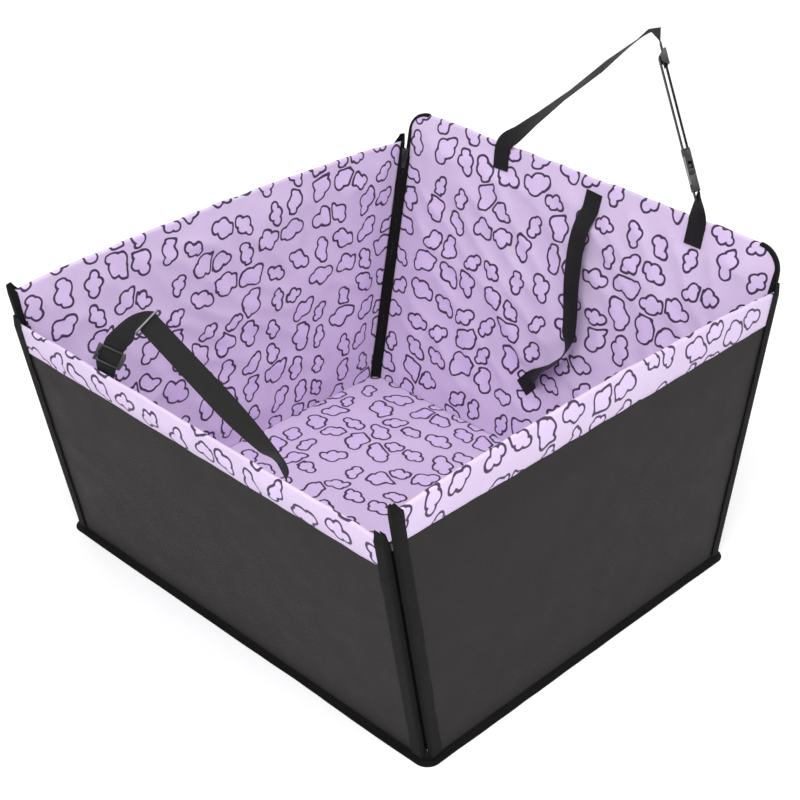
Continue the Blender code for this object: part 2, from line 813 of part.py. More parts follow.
def make_headrest_strap(wall):
    """Long webbing with its slide adjuster, buckle and short webbing."""
    off = -(layer_far + clearance + webbing / 2)
    left_x = strap_centre - anchor_half_span
    right_x = strap_centre + anchor_half_span
    apex_up = wall.top + apex_rise
    plain = wall.along
    apex_start = wall.place(apex_x + apex_half_width, off, apex_up)
    buckle_end = wall.place(buckle_x, off, wall.top + buckle_rise)
    down = (buckle_end - apex_start).normalized()
    run = Run(apex_start, buckle_end, turned(wall, down, run_twist))
    rising = (wall.place(apex_x - apex_half_width, off, apex_up)
              - wall.place(left_x, off, wall.top)).normalized()

    def on_rise(share, twist):
        """A key on the straight way from the left anchor to the apex."""
        start = wall.place(left_x, off, wall.top)
        end = wall.place(apex_x - apex_half_width, off, apex_up)
        return (start.lerp(end, share), turned(wall, rising, math.radians(twist)))

    rise_shares = ((0.10, 25), (0.24, 45), (0.45, 60), (0.70, 55), (0.93, 75))
    keys = [(wall.place(left_x, off, wall.top - tab_depth), plain),
            (wall.place(left_x, off, wall.top), plain)]
    keys += [on_rise(share, twist) for share, twist in rise_shares]
    apex_lift = wall.place(apex_x, off, apex_up + apex_half_width / 2)
    keys += [(apex_lift, -wall.out)]
    route = smooth_route(keys, strap_steps)

    socket_bar = run.length - (bar + buckle_slot) * 2 - socket_body - plug_block - clearance
    socket_bar += bar / 2
    first_straight = glide_from_apex - glide_pitch * 2
    route += [(run.place(0, first_straight, 0), run.width)]
    route += half_turn(run, socket_bar, bar_off, bar_loop, 0, math.pi, loop_steps)
    tail_start = socket_bar - loop_tail
    route += [(run.place(0, tail_start, bar_off + bar_loop), run.width)]
    make_piece("headrest_strap", ribbon(route), "webbing", wall.pivot)

    back = [(run.place(0, tail_start - clearance, bar_off + bar_loop), run.width)]
    mid_top = half_turn(run, glide_from_apex, mid_bar_off, glide_loop, math.pi, 2 * math.pi, loop_steps)
    back += mid_top
    back += [(run.place(0, glide_from_apex + loop_tail, mid_bar_off - glide_loop), run.width)]
    make_piece("headrest_strap_return", ribbon(back), "webbing", wall.pivot)

    make_pivot("headrest_slide", run.place(0, glide_from_apex, 0), wall.pivot)
    make_glide("headrest_slider", run, glide_from_apex, "headrest_slide")
    mouth = make_socket(run, socket_bar - bar / 2, wall.pivot)
    make_pivot("buckle_release", run.place(0, mouth, bar_off), wall.pivot)
    plug_bar = make_plug(run, mouth, "buckle_release")

    short = [(run.place(0, plug_bar + loop_tail, bar_off + bar_loop), run.width)]
    short += half_turn(run, plug_bar, bar_off, bar_loop, math.pi, 2 * math.pi, loop_steps)
    keys = [(run.place(0, plug_bar + bar, 0), run.width),
            (wall.place(right_x, off, wall.top), plain),
            (wall.place(right_x, off, wall.top - tab_depth), plain)]
    make_piece("headrest_strap_short", ribbon(short + smooth_route(keys, strap_steps)), "webbing",
               wall.pivot)


def make_belt_guide(wall):
    """Slack strap down the back wall's inside, which the car's own belt passes behind."""
    places = []
    for x, up_share, off_share in zip(guide_across, guide_up_shares, guide_off_shares):
        up = wall.top * up_share
        stand = clearance + webbing / 2 + guide_standoff * off_share
        places.append(wall.place(x, wall.lining_face(x, up) - stand, up))
    keys = []
    for index, place in enumerate(places):
        before, after = places[max(index - 1, 0)], places[min(index + 1, len(places) - 1)]
        twist = math.radians(guide_twists[index])
        keys.append((place, turned(wall, (after - before).normalized(), twist)))
    route = keys[:1] + smooth_route(keys[1:-1], strap_steps) + keys[-1:]
    make_piece("belt_guide_strap", ribbon(route), "webbing", wall.pivot)


def make_front_strap(wall):
    """Webbing along the front wall: sewn at the right, through a ring, adjuster at the left."""
    seat = layer_far + clearance + webbing / 2
    tab_top = wall.top - front_tab_depth
    tab_end = tab_top - front_tab_length
    start = wall.place(-front_rim_x, -seat - front_rim_off, wall.top)
    apex = wall.place(-front_apex_x, -front_apex_off, wall.top + front_apex_rise)
    run = Run(start, apex, turned(wall, (apex - start).normalized(), front_apex_twist))
    glide_place = wall.place(-front_glide_x, -front_glide_off, wall.top + front_glide_rise)
    lower_ahead = wall.out * math.sin(front_glide_lean) - wall.up * math.cos(front_glide_lean)
    lower = Run(glide_place, glide_place + lower_ahead,
                turned(wall, lower_ahead, front_glide_twist))
    keys = [(wall.place(-front_anchor_x, -seat, tab_top), wall.along)]
    for share, twist in front_twists:
        side = turned(wall, run.ahead, math.radians(twist))
        keys.append((run.place(0, run.length * share, 0), side))
    keys.append((lower.place(0, -glide_pitch * 2, 0), lower.width))
    route = [(wall.place(-front_anchor_x, -seat, tab_end), wall.along)]
    route += smooth_route(keys, strap_steps)
    route += [(lower.place(0, glide_pitch + glide_bar, 0), lower.width),
              (wall.place(-front_glide_x, -seat, wall.top - front_tab_depth / 2), wall.along),
              (wall.place(-front_glide_x, -seat, tab_end), wall.along)]
    make_piece("front_strap", ribbon(route, ribbon_squareness), "webbing", wall.pivot)
    make_pivot("front_slide", lower.start, wall.pivot)
    make_glide("front_slider", lower, 0, "front_slide")

    centre = run.place(0, run.length - ring_from_apex, ring_seat)
    frames = []
    half_x, half_y = (ring_inside + ring_wire) / 2, (ring_opening + ring_wire) / 2
    for place, outward in rounded_loop(half_x, half_y, ring_corner):
        spoke = run.width * outward.x + run.face * outward.y
        frames.append((centre + run.width * place.x + run.face * place.y, spoke, run.ahead))
    section = circle(0, 0, ring_wire / 2, ring_sides)
    make_pivot("ring_slide", centre, wall.pivot)
    make_piece("front_ring", sweep(section, frames, closed=True), "plated_steel", "ring_slide")


make_pivot("base", Vector((0, 0, 0)))
make_base()

front_slope = math.tan(front_lean)
back_slope = math.tan(back_lean)
half_width = base_width / 2
half_depth = base_depth / 2
walls = {}
wall_rows = (
    ("front_wall", math.pi, half_width, half_depth, front_wall_height, front_lean, (0, 0), 0, 0,
     front_puffed_share),
    ("back_wall", 0, half_width, half_depth, back_wall_height, back_lean, (0, 0), 0,
     back_corner_radius, 0),
    ("left_wall", math.pi / 2, half_depth, half_width, side_wall_height, 0,
     (front_slope, back_slope), side_crown, 0, 1),
    ("right_wall", -math.pi / 2, half_depth, half_width, side_wall_height, 0,
     (back_slope, front_slope), side_crown, 0, 1),
)
for row in wall_rows:
    wall = Wall(*row)
    walls[wall.name] = wall
    wall.make_layer("_skin", "black_oxford", layer_near, layer_far, edge_inset)
    wall.make_layer("_board", "stiffener_board", -board_face, board_face, edge_inset + board_inset)
    wall.make_lining()

# Which end of each wall's own length is its left, seen from above with the front below
binding_rows = (
    ("front_wall", 1, "left"), ("front_wall", 0, "right"),
    ("back_wall", 0, "left"), ("back_wall", 1, "right"),
    ("left_wall", 0, "front"), ("left_wall", 1, "back"),
    ("right_wall", 1, "front"), ("right_wall", 0, "back"),
)
for wall_name, side, end_name in binding_rows:
    walls[wall_name].make_binding(side, wall_name + "_binding_" + end_name)

corner_rows = (
    ("front_left", -1, "front_wall", "left_wall"), ("front_right", 1, "front_wall", "right_wall"),
    ("back_left", -1, "back_wall", "left_wall"), ("back_right", 1, "back_wall", "right_wall"),
)
for corner_name, side_sign, end_name, side_name in corner_rows:
    Corner(corner_name, side_sign, walls[end_name], walls[side_name]).make()

make_headrest_strap(walls["back_wall"])
make_belt_guide(walls["back_wall"])
make_front_strap(walls["front_wall"])
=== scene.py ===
"""Looks of a folding dog car seat, in metres: printed cloth, tape, webbing, zips and buckles."""

from math import atan2, cos, dist, hypot, pi, radians, sin, sqrt, tan

import bmesh
import bpy
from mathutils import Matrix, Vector, noise


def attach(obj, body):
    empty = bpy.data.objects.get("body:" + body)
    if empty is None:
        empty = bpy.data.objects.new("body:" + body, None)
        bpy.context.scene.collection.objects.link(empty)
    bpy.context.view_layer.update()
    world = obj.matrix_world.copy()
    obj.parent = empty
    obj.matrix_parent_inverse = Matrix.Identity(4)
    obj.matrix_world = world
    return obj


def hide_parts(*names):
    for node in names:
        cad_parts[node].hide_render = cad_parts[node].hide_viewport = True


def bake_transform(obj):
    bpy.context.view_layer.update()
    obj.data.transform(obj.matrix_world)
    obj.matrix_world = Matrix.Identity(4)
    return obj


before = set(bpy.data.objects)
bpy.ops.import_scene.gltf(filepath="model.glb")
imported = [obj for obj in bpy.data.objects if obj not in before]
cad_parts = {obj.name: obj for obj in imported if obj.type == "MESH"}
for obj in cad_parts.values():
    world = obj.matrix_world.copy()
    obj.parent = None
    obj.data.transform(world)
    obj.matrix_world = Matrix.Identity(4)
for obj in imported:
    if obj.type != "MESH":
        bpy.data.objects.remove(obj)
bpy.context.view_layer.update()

# The walls' plan, heights and leans, as the solids have them
base_width = 0.604
base_depth = 0.532
front_wall_height = 0.323
side_wall_height = 0.360
back_wall_height = 0.405
front_overhang = 0.068
back_overhang = 0.059
side_crown = 0.010
back_corner_radius = 0.030
base_corner_radius = 0.008
fold_height = 0.0069
base_top = 0.0072
wall_foot = 0.0012

# Layers of a wall, measured outwards from the middle of its board
board_face = 0.0010
cloth = 0.0010
clearance = 0.0003
sheet_thickness = 0.0008
layer_near = board_face + clearance
layer_far = layer_near + cloth
hem_near = layer_far + clearance
hem_far = hem_near + cloth
tape = 0.0008
hem_turn_radius = (hem_near + layer_near) / 2
hem_turn_centre = (hem_near - layer_near) / 2
hem_depth = 0.035
hem_puff = 0.0024
front_hem_puff = 0.0036
rim_lift = 0.0028
lining_puff = 0.004
hem_seam_rise = 0.0022
front_puffed_share = 0.65
binding_width = 0.0127
binding_inner_width = 0.0072
binding_inner_far = layer_far + clearance + tape
binding_outer = hem_far + clearance
corner_slit = 0.0012
corner_inset = binding_inner_far + corner_slit
edge_inset = corner_inset + tape + clearance
lining_inset = edge_inset + cloth

# Bindings: their ends, feet and folds, and the base's seam
stub_height = 0.010
stub_taper = 0.5
stub_closing = 0.72
arc_narrowing = 0.6
binding_bend = 0.0010
foot_flare = 0.0009
foot_flare_height = 0.012
foot_flare_depth = 0.004
flange_width = 0.009
flange_thickness = 0.0016
base_tape_gap = 0.00025
base_swell = 0.0042
base_web_far = base_tape_gap + 0.0006
flange_wander, flange_ripple, flange_wave = 0.0016, 0.0006, 0.0003
corner_tab_rise = 0.0125
corner_tab_turns = radians(34), radians(39)

# Creases: how far each kind stands out of the cloth, and how long it is
fold_depth, fold_length = 0.0040, 0.085
slant_depth, slant_length = 0.0038, 0.055
fine_depth, fine_length = 0.0010, 0.024
rim_wave_length = 0.036
hem_wave_length = 0.032
hem_roll_length = 0.016
hem_edge_depth, hem_edge_length = 0.0014, 0.030
skin_fullness = 0.0012
skin_wave_depth, skin_wave_length = 0.0011, 0.110
binding_wander = 0.0016
binding_lift = 0.0015
binding_pinch = 0.0002

# Gathers at seams: how deep, and (length, sway, length of the sway, where its noise starts)
lining_gather_depth, lining_gathers = 0.0007, (0.0042, 2.5, 0.05, 3)
hem_gather_depth, hem_gathers = 0.0005, (0.0045, 3, 0.06, 2)
skin_gather_depth, skin_gathers = 0.00035, (0.0046, 3, 0.06, 14)
lining_gather_reach = 0.030
skin_gather_reach = 0.022

# How steeply creases fade at the ends of a rim
crown_fade, hem_fade, gather_fade = 14, 20, 30

# Distances over which cloth held by a seam or a strap becomes free to crease
lining_free = 0.045
rim_free = 0.018
seam_free = 0.006
side_free = 0.020
still_free = 0.014
skin_free = 0.050
base_free = 0.070

# How finely the cloth is modelled: columns along it, rows up it, and steps of its turns
lining_columns, lining_rows, turn_steps, hem_rows = 96, 72, 8, 16
skin_columns, skin_rows = 80, 60
base_columns, base_rows = 96, 84
binding_steps, arc_steps, stub_steps = 60, 12, 6
end_steps = 8
base_corner_steps, base_side_steps = 16, 60

# Zips
zip_inset = 0.0085
zip_tape = 0.0007
zip_tape_reach = 0.0142
coil_radius = 0.0009
coil_wire = 0.00028
coil_overlap = 0.00020
tape_tip = 0.0007
tape_tip_gap = 0.00003
tape_bend = 0.0003
coil_pitch = 0.0013
coil_gap = 0.0016
zip_foot = 0.0018
zip_below_rim = 0.008
slider_below_end = 0.006
slider_length = 0.009
zip_steps = 40
coil_steps = 8

# Stitches
stitch_pitch = 0.0034
stitch_length = 0.0023
stitch_width = 0.00064
stitch_off = 0.0006
tab_stitch_pitch = 0.0030
tab_stitch_length = 0.0021
tab_seam_inset = 0.0035
tab_seam_rise = 0.003
tab_stitch_off = 0.0002

# Webbing and its hardware; moulded and cast edges are rounded by these radii
adjuster_edge = 0.0006
buckle_edge = 0.0005
cast_edge = 0.00018
webbing_width = 0.025
webbing = 0.0012
bar = 0.0040
glide_bar = 0.0025
glide_pitch = 0.0085
strap_steps = 12
loop_steps = 14
strap_centre = 0.0235
anchor_half_span = 0.1535
tab_depth = 0.034
apex_x = 0.066
apex_rise = 0.2015
apex_half_width = 0.004
buckle_x = 0.1705
buckle_rise = 0.0335
glide_from_apex = 0.0325
run_twist = radians(50)
loop_tail = 0.012
buckle_slot = 0.0055
socket_body = 0.0225
plug_block = 0.0112
rise_twists = ((0.10, 25), (0.24, 45), (0.45, 60), (0.70, 55), (0.93, 75))
guide_standoff = 0.024
# Belt guide, a row for each point: place across the wall, share of its height, share of the
# standoff, and twist in degrees
guide_rows = (
    (0.0235, 0.960, 0.00, 0), (0.0220, 0.905, 0.00, 0), (0.0190, 0.830, 0.45, 0),
    (0.0255, 0.690, 0.80, 0), (0.0370, 0.500, 0.85, 10), (0.0340, 0.420, 0.85, 70),
    (0.0080, 0.345, 0.75, 75), (-0.0080, 0.300, 0.50, 45), (-0.0228, 0.2625, 0.00, 0),
    (-0.0360, 0.221, 0.00, 0),
)
# Front strap: x runs to the part's right, against the front wall's own axis
front_anchor_x = 0.150
front_rim_x = 0.138
front_rim_off = 0.011
front_apex_x = -0.117
front_apex_off = 0.058
front_apex_rise = 0.045
front_apex_twist = radians(120)
front_twists = ((0, 32), (0.10, 60), (0.28, 88), (0.50, 119), (0.80, 120), (0.965, 120), (1, 120))
front_glide_x = -0.142
front_glide_off = 0.0170
front_glide_rise = 0.0100
front_glide_lean = radians(45)
front_glide_twist = radians(-28)
front_tab_depth = 0.030
front_tab_length = 0.024
front_squareness = 0.35
seat = layer_far + clearance + webbing / 2

# Studio and the photo's camera, in metres and degrees; the lens and sensor in millimetres
sky_light = 0.74
paper_glow = 0.28
lamp_size = 1.6
camera_azimuth, camera_elevation, camera_roll = 43.08, 31.47, 1.70
camera_away = 2.070
camera_lens, camera_sensor = 77.3, 36

# Print: the lattice of the motifs, their sizes and the line round them
motif_pitch = 0.0415
motif_scatter = 0.52
motif_shrink = (1.36, 0.80)
motif_gap = 0.0022
gap_softness = 0.0060
lobe_softness = 0.0024
fixed_lobes = (((0, 0, 0), 0.0104), ((0.0124, 0.0014, 0), 0.0076), ((-0.0118, -0.0016, 0), 0.0086))
moving_lobes = (((-0.005, 0.005), 0.0054, 0.0088), ((0.006, -0.002), -0.0042, 0.0086))
line_core = 0.00115
line_edge = 0.00185
fill_edge = 0.0005
line_sway = 0.006
printed_thread = 0.0015
# How far each piece of cloth is shifted on the print, so that no two are cut alike
print_shift = (0.37, 0.53)
base_print_shift = (0.11, 0.07)

up_axis = Vector((0, 0, 1))
smooth_angle = radians(40)
front_lean = atan2(front_overhang, front_wall_height)
back_lean = atan2(back_overhang, back_wall_height)


# Materials

def linear(code):
    """Linear colour of an sRGB hex code."""
    channels = [int(code[place:place + 2], 16) / 255 for place in (1, 3, 5)]
    curve = [c / 12.92 if c <= 0.04045 else ((c + 0.055) / 1.055) ** 2.4 for c in channels]
    return (*curve, 1)


def add(tree, kind, inputs=None, **settings):
    """Add one shader node with its settings, values and links; its outputs come back."""
    made = tree.nodes.new(kind)
    for name, value in settings.items():
        setattr(made, name, value)
    for name, value in (inputs or {}).items():
        if isinstance(value, bpy.types.NodeSocket):
            tree.links.new(value, made.inputs[name])
        else:
            made.inputs[name].default_value = value
    return made.outputs


def start_material(name, **values):
    """A material with a Principled shader, its fixed values set on its own sockets."""
    material = bpy.data.materials.new(name)
    material.use_nodes = True
    tree = material.node_tree
    shader = tree.nodes["Principled BSDF"]
    for socket, value in values.items():
        shader.inputs[socket.replace("_", " ")].default_value = value
    return material, tree, shader


def weave(tree, flat, thread):
    """Height of a plain weave over the flat cloth, its threads one pitch apart."""
    parts = add(tree, "ShaderNodeSeparateXYZ", {"Vector": flat})
    waves = []
    for axis in ("X", "Y"):
        turn = add(tree, "ShaderNodeMath", {0: parts[axis], 1: pi / thread}, operation="MULTIPLY")[0]
        waves.append(add(tree, "ShaderNodeMath", {0: turn}, operation="SINE")[0])
    return add(tree, "ShaderNodeMath", {0: waves[0], 1: waves[1]}, operation="MULTIPLY")[0]


def printed_oxford():
    """Polyester Oxford cloth, coated behind: pale lilac with a matt screen print of lines."""
    material, tree, shader = start_material(
        "screen_printed_polyester_oxford", Roughness=0.82, Sheen_Weight=0.12, Sheen_Roughness=0.45)
    flat = add(tree, "ShaderNodeUVMap", uv_map="flat")[0]
    # The line's hand-drawn wobble: a slow drift of about a millimetre
    drift = add(tree, "ShaderNodeTexNoise", {"Vector": flat, "Scale": 42, "Detail": 0.5},
                noise_dimensions="2D")["Color"]
    drift = add(tree, "ShaderNodeVectorMath", {0: drift, 1: (0.5, 0.5, 0.5)}, operation="SUBTRACT")[0]
    drift = add(tree, "ShaderNodeVectorMath", {0: drift, "Scale": line_sway}, operation="SCALE")[0]
    drawn = add(tree, "ShaderNodeVectorMath", {0: flat, 1: drift}, operation="ADD")[0]
    # One motif in each cell of an irregular lattice
    lattice = {"Vector": drawn, "Scale": 1 / motif_pitch, "Randomness": motif_scatter}
    cells = add(tree, "ShaderNodeTexVoronoi", lattice, voronoi_dimensions="2D")
    border = add(tree, "ShaderNodeTexVoronoi", lattice, voronoi_dimensions="2D",
                 feature="DISTANCE_TO_EDGE")["Distance"]
    border = add(tree, "ShaderNodeMath", {0: border, 1: motif_pitch}, operation="MULTIPLY")[0]
    dice = add(tree, "ShaderNodeSeparateColor", {"Color": cells["Color"]})
    local = add(tree, "ShaderNodeVectorMath", {0: drawn, 1: cells["Position"]}, operation="SUBTRACT")[0]
    turn = add(tree, "ShaderNodeMath", {0: dice["Red"], 1: 2 * pi}, operation="MULTIPLY")[0]
    local = add(tree, "ShaderNodeVectorRotate", {"Vector": local, "Angle": turn},
                rotation_type="Z_AXIS")[0]
    least, most = motif_shrink
    grown = add(tree, "ShaderNodeMapRange", {"Value": dice["Green"], "To Min": least, "To Max": most})[0]
    local = add(tree, "ShaderNodeVectorMath", {0: local, "Scale": grown}, operation="SCALE")[0]
    ends = []
    for (low, high), rise, radius in moving_lobes:
        lean = add(tree, "ShaderNodeMapRange", {"Value": dice["Blue"], "To Min": low, "To Max": high})[0]
        ends.append((add(tree, "ShaderNodeCombineXYZ", {"X": lean, "Y": rise})[0], radius))
    # The motif: a round body with two ends and two side lobes, run together softly
    shape = None
    for centre, radius in (*fixed_lobes, *ends):
        away = add(tree, "ShaderNodeVectorMath", {0: local, 1: centre}, operation="DISTANCE")["Value"]
        away = add(tree, "ShaderNodeMath", {0: away, 1: radius}, operation="SUBTRACT")[0]
        if shape is None:
            shape = away
        else:
            shape = add(tree, "ShaderNodeMath", {0: shape, 1: away, 2: lobe_softness},
                        operation="SMOOTH_MIN")[0]
    shape = add(tree, "ShaderNodeMath", {0: shape, 1: grown}, operation="DIVIDE")[0]
    # The motif keeps clear of its neighbours
    clear = add(tree, "ShaderNodeMath", {0: motif_gap, 1: border}, operation="SUBTRACT")[0]
    shape = add(tree, "ShaderNodeMath", {0: shape, 1: clear, 2: gap_softness},
                operation="SMOOTH_MAX")[0]
    off_line = add(tree, "ShaderNodeMath", {0: shape}, operation="ABSOLUTE")[0]
    ink = add(tree, "ShaderNodeMapRange",
              {"Value": off_line, "From Min": line_core, "From Max": line_edge,
               "To Min": 1, "To Max": 0}, interpolation_type="SMOOTHSTEP")[0]
    inside = add(tree, "ShaderNodeMapRange",
                 {"Value": shape, "From Min": fill_edge, "From Max": -fill_edge})[0]
    clouds = add(tree, "ShaderNodeTexNoise", {"Vector": flat, "Scale": 9, "Detail": 2},
                 noise_dimensions="2D")[0]
    ground = add(tree, "ShaderNodeMix", {"Factor": clouds, "A": linear("#D6C2E3"), "B": linear("#DFCDEB")},
                 data_type="RGBA")["Result"]
    ground = add(tree, "ShaderNodeMix", {"Factor": inside, "A": ground, "B": linear("#DEC9EE")},
                 data_type="RGBA")["Result"]
    colour = add(tree, "ShaderNodeMix", {"Factor": ink, "A": ground, "B": linear("#402C4C")},
                 data_type="RGBA")["Result"]
    tree.links.new(colour, shader.inputs["Base Color"])
    # Threads lie 0.6 mm apart and are drawn further apart so that they show
    threads = weave(tree, flat, printed_thread)
    creases = add(tree, "ShaderNodeTexNoise", {"Vector": flat, "Scale": 38, "Detail": 3},
                  noise_dimensions="2D")[0]
    height = add(tree, "ShaderNodeMath", {0: creases, 1: 6, 2: threads}, operation="MULTIPLY_ADD")[0]
    bump = add(tree, "ShaderNodeBump", {"Height": height, "Strength": 0.35, "Distance": 0.00022})[0]
    tree.links.new(bump, shader.inputs["Normal"])
    return material


def woven_black(name, dark, light, thread, rib, bump_depth, **values):
    """Black synthetic cloth, tape or webbing: its weave and ribs, and a little dust and wear."""
    material, tree, shader = start_material(name, **values)
    flat = add(tree, "ShaderNodeUVMap", uv_map="flat")[0]
    threads = weave(tree, flat, thread)
    if rib:
        # Ribs across the tape, one pitch apart along it, slanting the other way past the middle
        pitch, slope = rib
        parts = add(tree, "ShaderNodeSeparateXYZ", {"Vector": flat})
        slant = add(tree, "ShaderNodeMath", {0: parts["X"]}, operation="ABSOLUTE")[0]
        along = add(tree, "ShaderNodeMath", {0: slant, 1: slope, 2: parts["Y"]},
                    operation="MULTIPLY_ADD")[0]
        turn = add(tree, "ShaderNodeMath", {0: along, 1: 2 * pi / pitch}, operation="MULTIPLY")[0]
        ribs = add(tree, "ShaderNodeMath", {0: turn}, operation="SINE")[0]
        threads = add(tree, "ShaderNodeMath", {0: ribs, 1: 1.4, 2: threads},
                      operation="MULTIPLY_ADD")[0]
    dust = add(tree, "ShaderNodeTexNoise", {"Vector": flat, "Scale": 26, "Detail": 5},
               noise_dimensions="2D")[0]
    mixed = add(tree, "ShaderNodeMath", {0: threads, 1: 0.16, 2: dust}, operation="MULTIPLY_ADD")[0]
    tint = add(tree, "ShaderNodeMapRange", {"Value": mixed, "From Min": 0.25, "From Max": 0.8})[0]
    colour = add(tree, "ShaderNodeMix", {"Factor": tint, "A": linear(dark), "B": linear(light)},
                 data_type="RGBA")["Result"]
    tree.links.new(colour, shader.inputs["Base Color"])
    rough = add(tree, "ShaderNodeMapRange", {"Value": dust, "From Min": 0.3, "From Max": 0.7,
                                            "To Min": values["Roughness"] - 0.06,
                                            "To Max": values["Roughness"] + 0.06})[0]
    tree.links.new(rough, shader.inputs["Roughness"])
    folds = add(tree, "ShaderNodeTexNoise", {"Vector": flat, "Scale": 14, "Detail": 3},
                noise_dimensions="2D")[0]
    height = add(tree, "ShaderNodeMath", {0: folds, 1: 7, 2: threads}, operation="MULTIPLY_ADD")[0]
    bump = add(tree, "ShaderNodeBump", {"Height": height, "Strength": 0.4, "Distance": bump_depth})[0]
    tree.links.new(bump, shader.inputs["Normal"])
    return material


def hard_surface(name, dark, light, grain, bump_depth, **values):
    """Moulded, cast, drawn or pressed stock: fine grain, uneven gloss and small colour changes."""
    material, tree, shader = start_material(name, **values)
    place = add(tree, "ShaderNodeTexCoord")["Object"]
    grains = add(tree, "ShaderNodeTexNoise", {"Vector": place, "Scale": 1 / grain, "Detail": 3})[0]
    wear = add(tree, "ShaderNodeTexNoise", {"Vector": place, "Scale": 120, "Detail": 4})[0]
    tint = add(tree, "ShaderNodeMapRange", {"Value": wear, "From Min": 0.35, "From Max": 0.68})[0]
    colour = add(tree, "ShaderNodeMix", {"Factor": tint, "A": linear(dark), "B": linear(light)},
                 data_type="RGBA")["Result"]
    tree.links.new(colour, shader.inputs["Base Color"])
    rough = add(tree, "ShaderNodeMapRange", {"Value": wear, "From Min": 0.3, "From Max": 0.7,
                                            "To Min": values["Roughness"] - 0.07,
                                            "To Max": values["Roughness"] + 0.09})[0]
    tree.links.new(rough, shader.inputs["Roughness"])
    bump = add(tree, "ShaderNodeBump", {"Height": grains, "Strength": 0.4, "Distance": bump_depth})[0]
    tree.links.new(bump, shader.inputs["Normal"])
    return material


dull = {"Specular_IOR_Level": 0.12, "Sheen_Weight": 0.02, "Sheen_Roughness": 0.5}
materials = {
    "printed_oxford": printed_oxford(),
    # Polyurethane-coated polyester Oxford: nearly smooth, soft wide gloss
    "black_oxford": woven_black("coated_black_polyester_oxford", "#242122", "#2B2829", 0.0016, None,
                                0.00022, Roughness=0.66, **dull),
    # Grosgrain: dull, ribbed across
    "binding_tape": woven_black("grosgrain_polyester_tape", "#0F0E0F", "#191819", 0.0012,
                                (0.0013, 0), 0.00025, Roughness=0.86, **dull),
    # Woven zip tape: flat and nearly matt
    "zip_tape": woven_black("woven_polyester_zip_tape", "#0E0D0E", "#171516", 0.0011, None,
                            0.0002, Roughness=0.78, **dull),
    # Polypropylene webbing: flat chevron ribs with a slight gloss
    "webbing": woven_black("woven_polypropylene_webbing", "#131213", "#201E1F", 0.0014,
                           (0.0026, 0.9), 0.00035, Roughness=0.66, Specular_IOR_Level=0.2,
                           Sheen_Weight=0.02, Sheen_Roughness=0.45),
    # Drawn nylon wire: dull and very dark
    "coil": hard_surface("nylon_monofilament_coil", "#0E0D0E", "#151415", 0.0006, 0.00002,
                         Roughness=0.6, Specular_IOR_Level=0.2),
    # Bonded black thread: a shade lighter than the tape it holds
    "thread": hard_surface("bonded_polyester_thread", "#1F1D1E", "#2D2B2C", 0.0004, 0.00004,
                           Roughness=0.7, Specular_IOR_Level=0.3),
    # Spun lilac thread: nearly lost on the printed cloth
    "pale_thread": hard_surface("lilac_polyester_thread", "#B9A6CC", "#CBBADC", 0.0004, 0.00004,
                                Roughness=0.7),
    # Acetal: satin, fine spark-eroded grain
    "buckle_plastic": hard_surface("moulded_black_acetal", "#191919", "#242425", 0.0005, 0.00003,
                                   Roughness=0.38),
    # Nickel plate over steel wire: bright, faint drawing marks
    "plated_steel": hard_surface("nickel_plated_steel_wire", "#6E6B72", "#85828A", 0.0004, 0.00001,
                                 Roughness=0.36, Metallic=1.0),
    # Zinc die casting under black lacquer
    "painted_zinc": hard_surface("lacquered_zinc_casting", "#1E1D1F", "#2D2B2E", 0.0006, 0.00002,
                                 Roughness=0.3, Coat_Weight=0.3, Coat_Roughness=0.2),
    # Pressed fibre: matt, pale and finely speckled
    "stiffener_board": hard_surface("pressed_fibre_board", "#A9A59C", "#BDB9B0", 0.0012, 0.0001,
                                    Roughness=0.85),
}


# Making pieces

def select_only(piece):
    """Make one piece the one that Blender's operators work on."""
    bpy.ops.object.select_all(action="DESELECT")
    piece.select_set(True)
    bpy.context.view_layer.objects.active = piece


def show_mesh(name, mesh):
    """Put a mesh into the scene as a piece."""
    piece = bpy.data.objects.new(name, mesh)
    bpy.context.scene.collection.objects.link(piece)
    select_only(piece)
    return piece


def apply_modifier(piece, kind, **values):
    """Change a piece by one modifier, with its settings."""
    modifier = piece.modifiers.new(kind.lower(), kind)
    for name, value in values.items():
        setattr(modifier, name, value)
    bpy.ops.object.modifier_apply(modifier=modifier.name)


def settle(piece, look, body, nodes, angle=smooth_angle):
    """Give a finished piece its material and body, and hide the solids it stands for."""
    piece.data.materials.clear()
    piece.data.materials.append(materials[look])
    select_only(piece)
    bpy.ops.object.shade_smooth_by_angle(angle=angle)
    if body:
        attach(piece, body)
    if nodes:
        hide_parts(*nodes)
    return piece


def new_piece(name, places, faces, flats):
    """A mesh object from places, faces and each face corner's place on the flat cut."""
    mesh = bpy.data.meshes.new(name)
    mesh.from_pydata(places, [], faces)
    layer = mesh.uv_layers.new(name="flat")
    layer.data.foreach_set("uv", [value for corner in flats for value in corner])
    return show_mesh(name, mesh)


def make_cloth(name, columns, look, body, nodes, thickness=sheet_thickness):
    """Cloth through columns of (place, place on the flat cut), then thickened."""
    points = [point for column in columns for point in column]
    faces, low = [], 0
    for left, right in zip(columns, columns[1:]):
        high = low + len(left)
        for row in range(min(len(left), len(right)) - 1):
            faces.append((low + row, high + row, high + row + 1, low + row + 1))
        low = high
    piece = new_piece(name, [place for place, _ in points], faces,
                      [points[corner][1] for face in faces for corner in face])
    apply_modifier(piece, "SOLIDIFY", thickness=thickness, offset=0, use_even_offset=True)
    settle(piece, look, body, nodes)


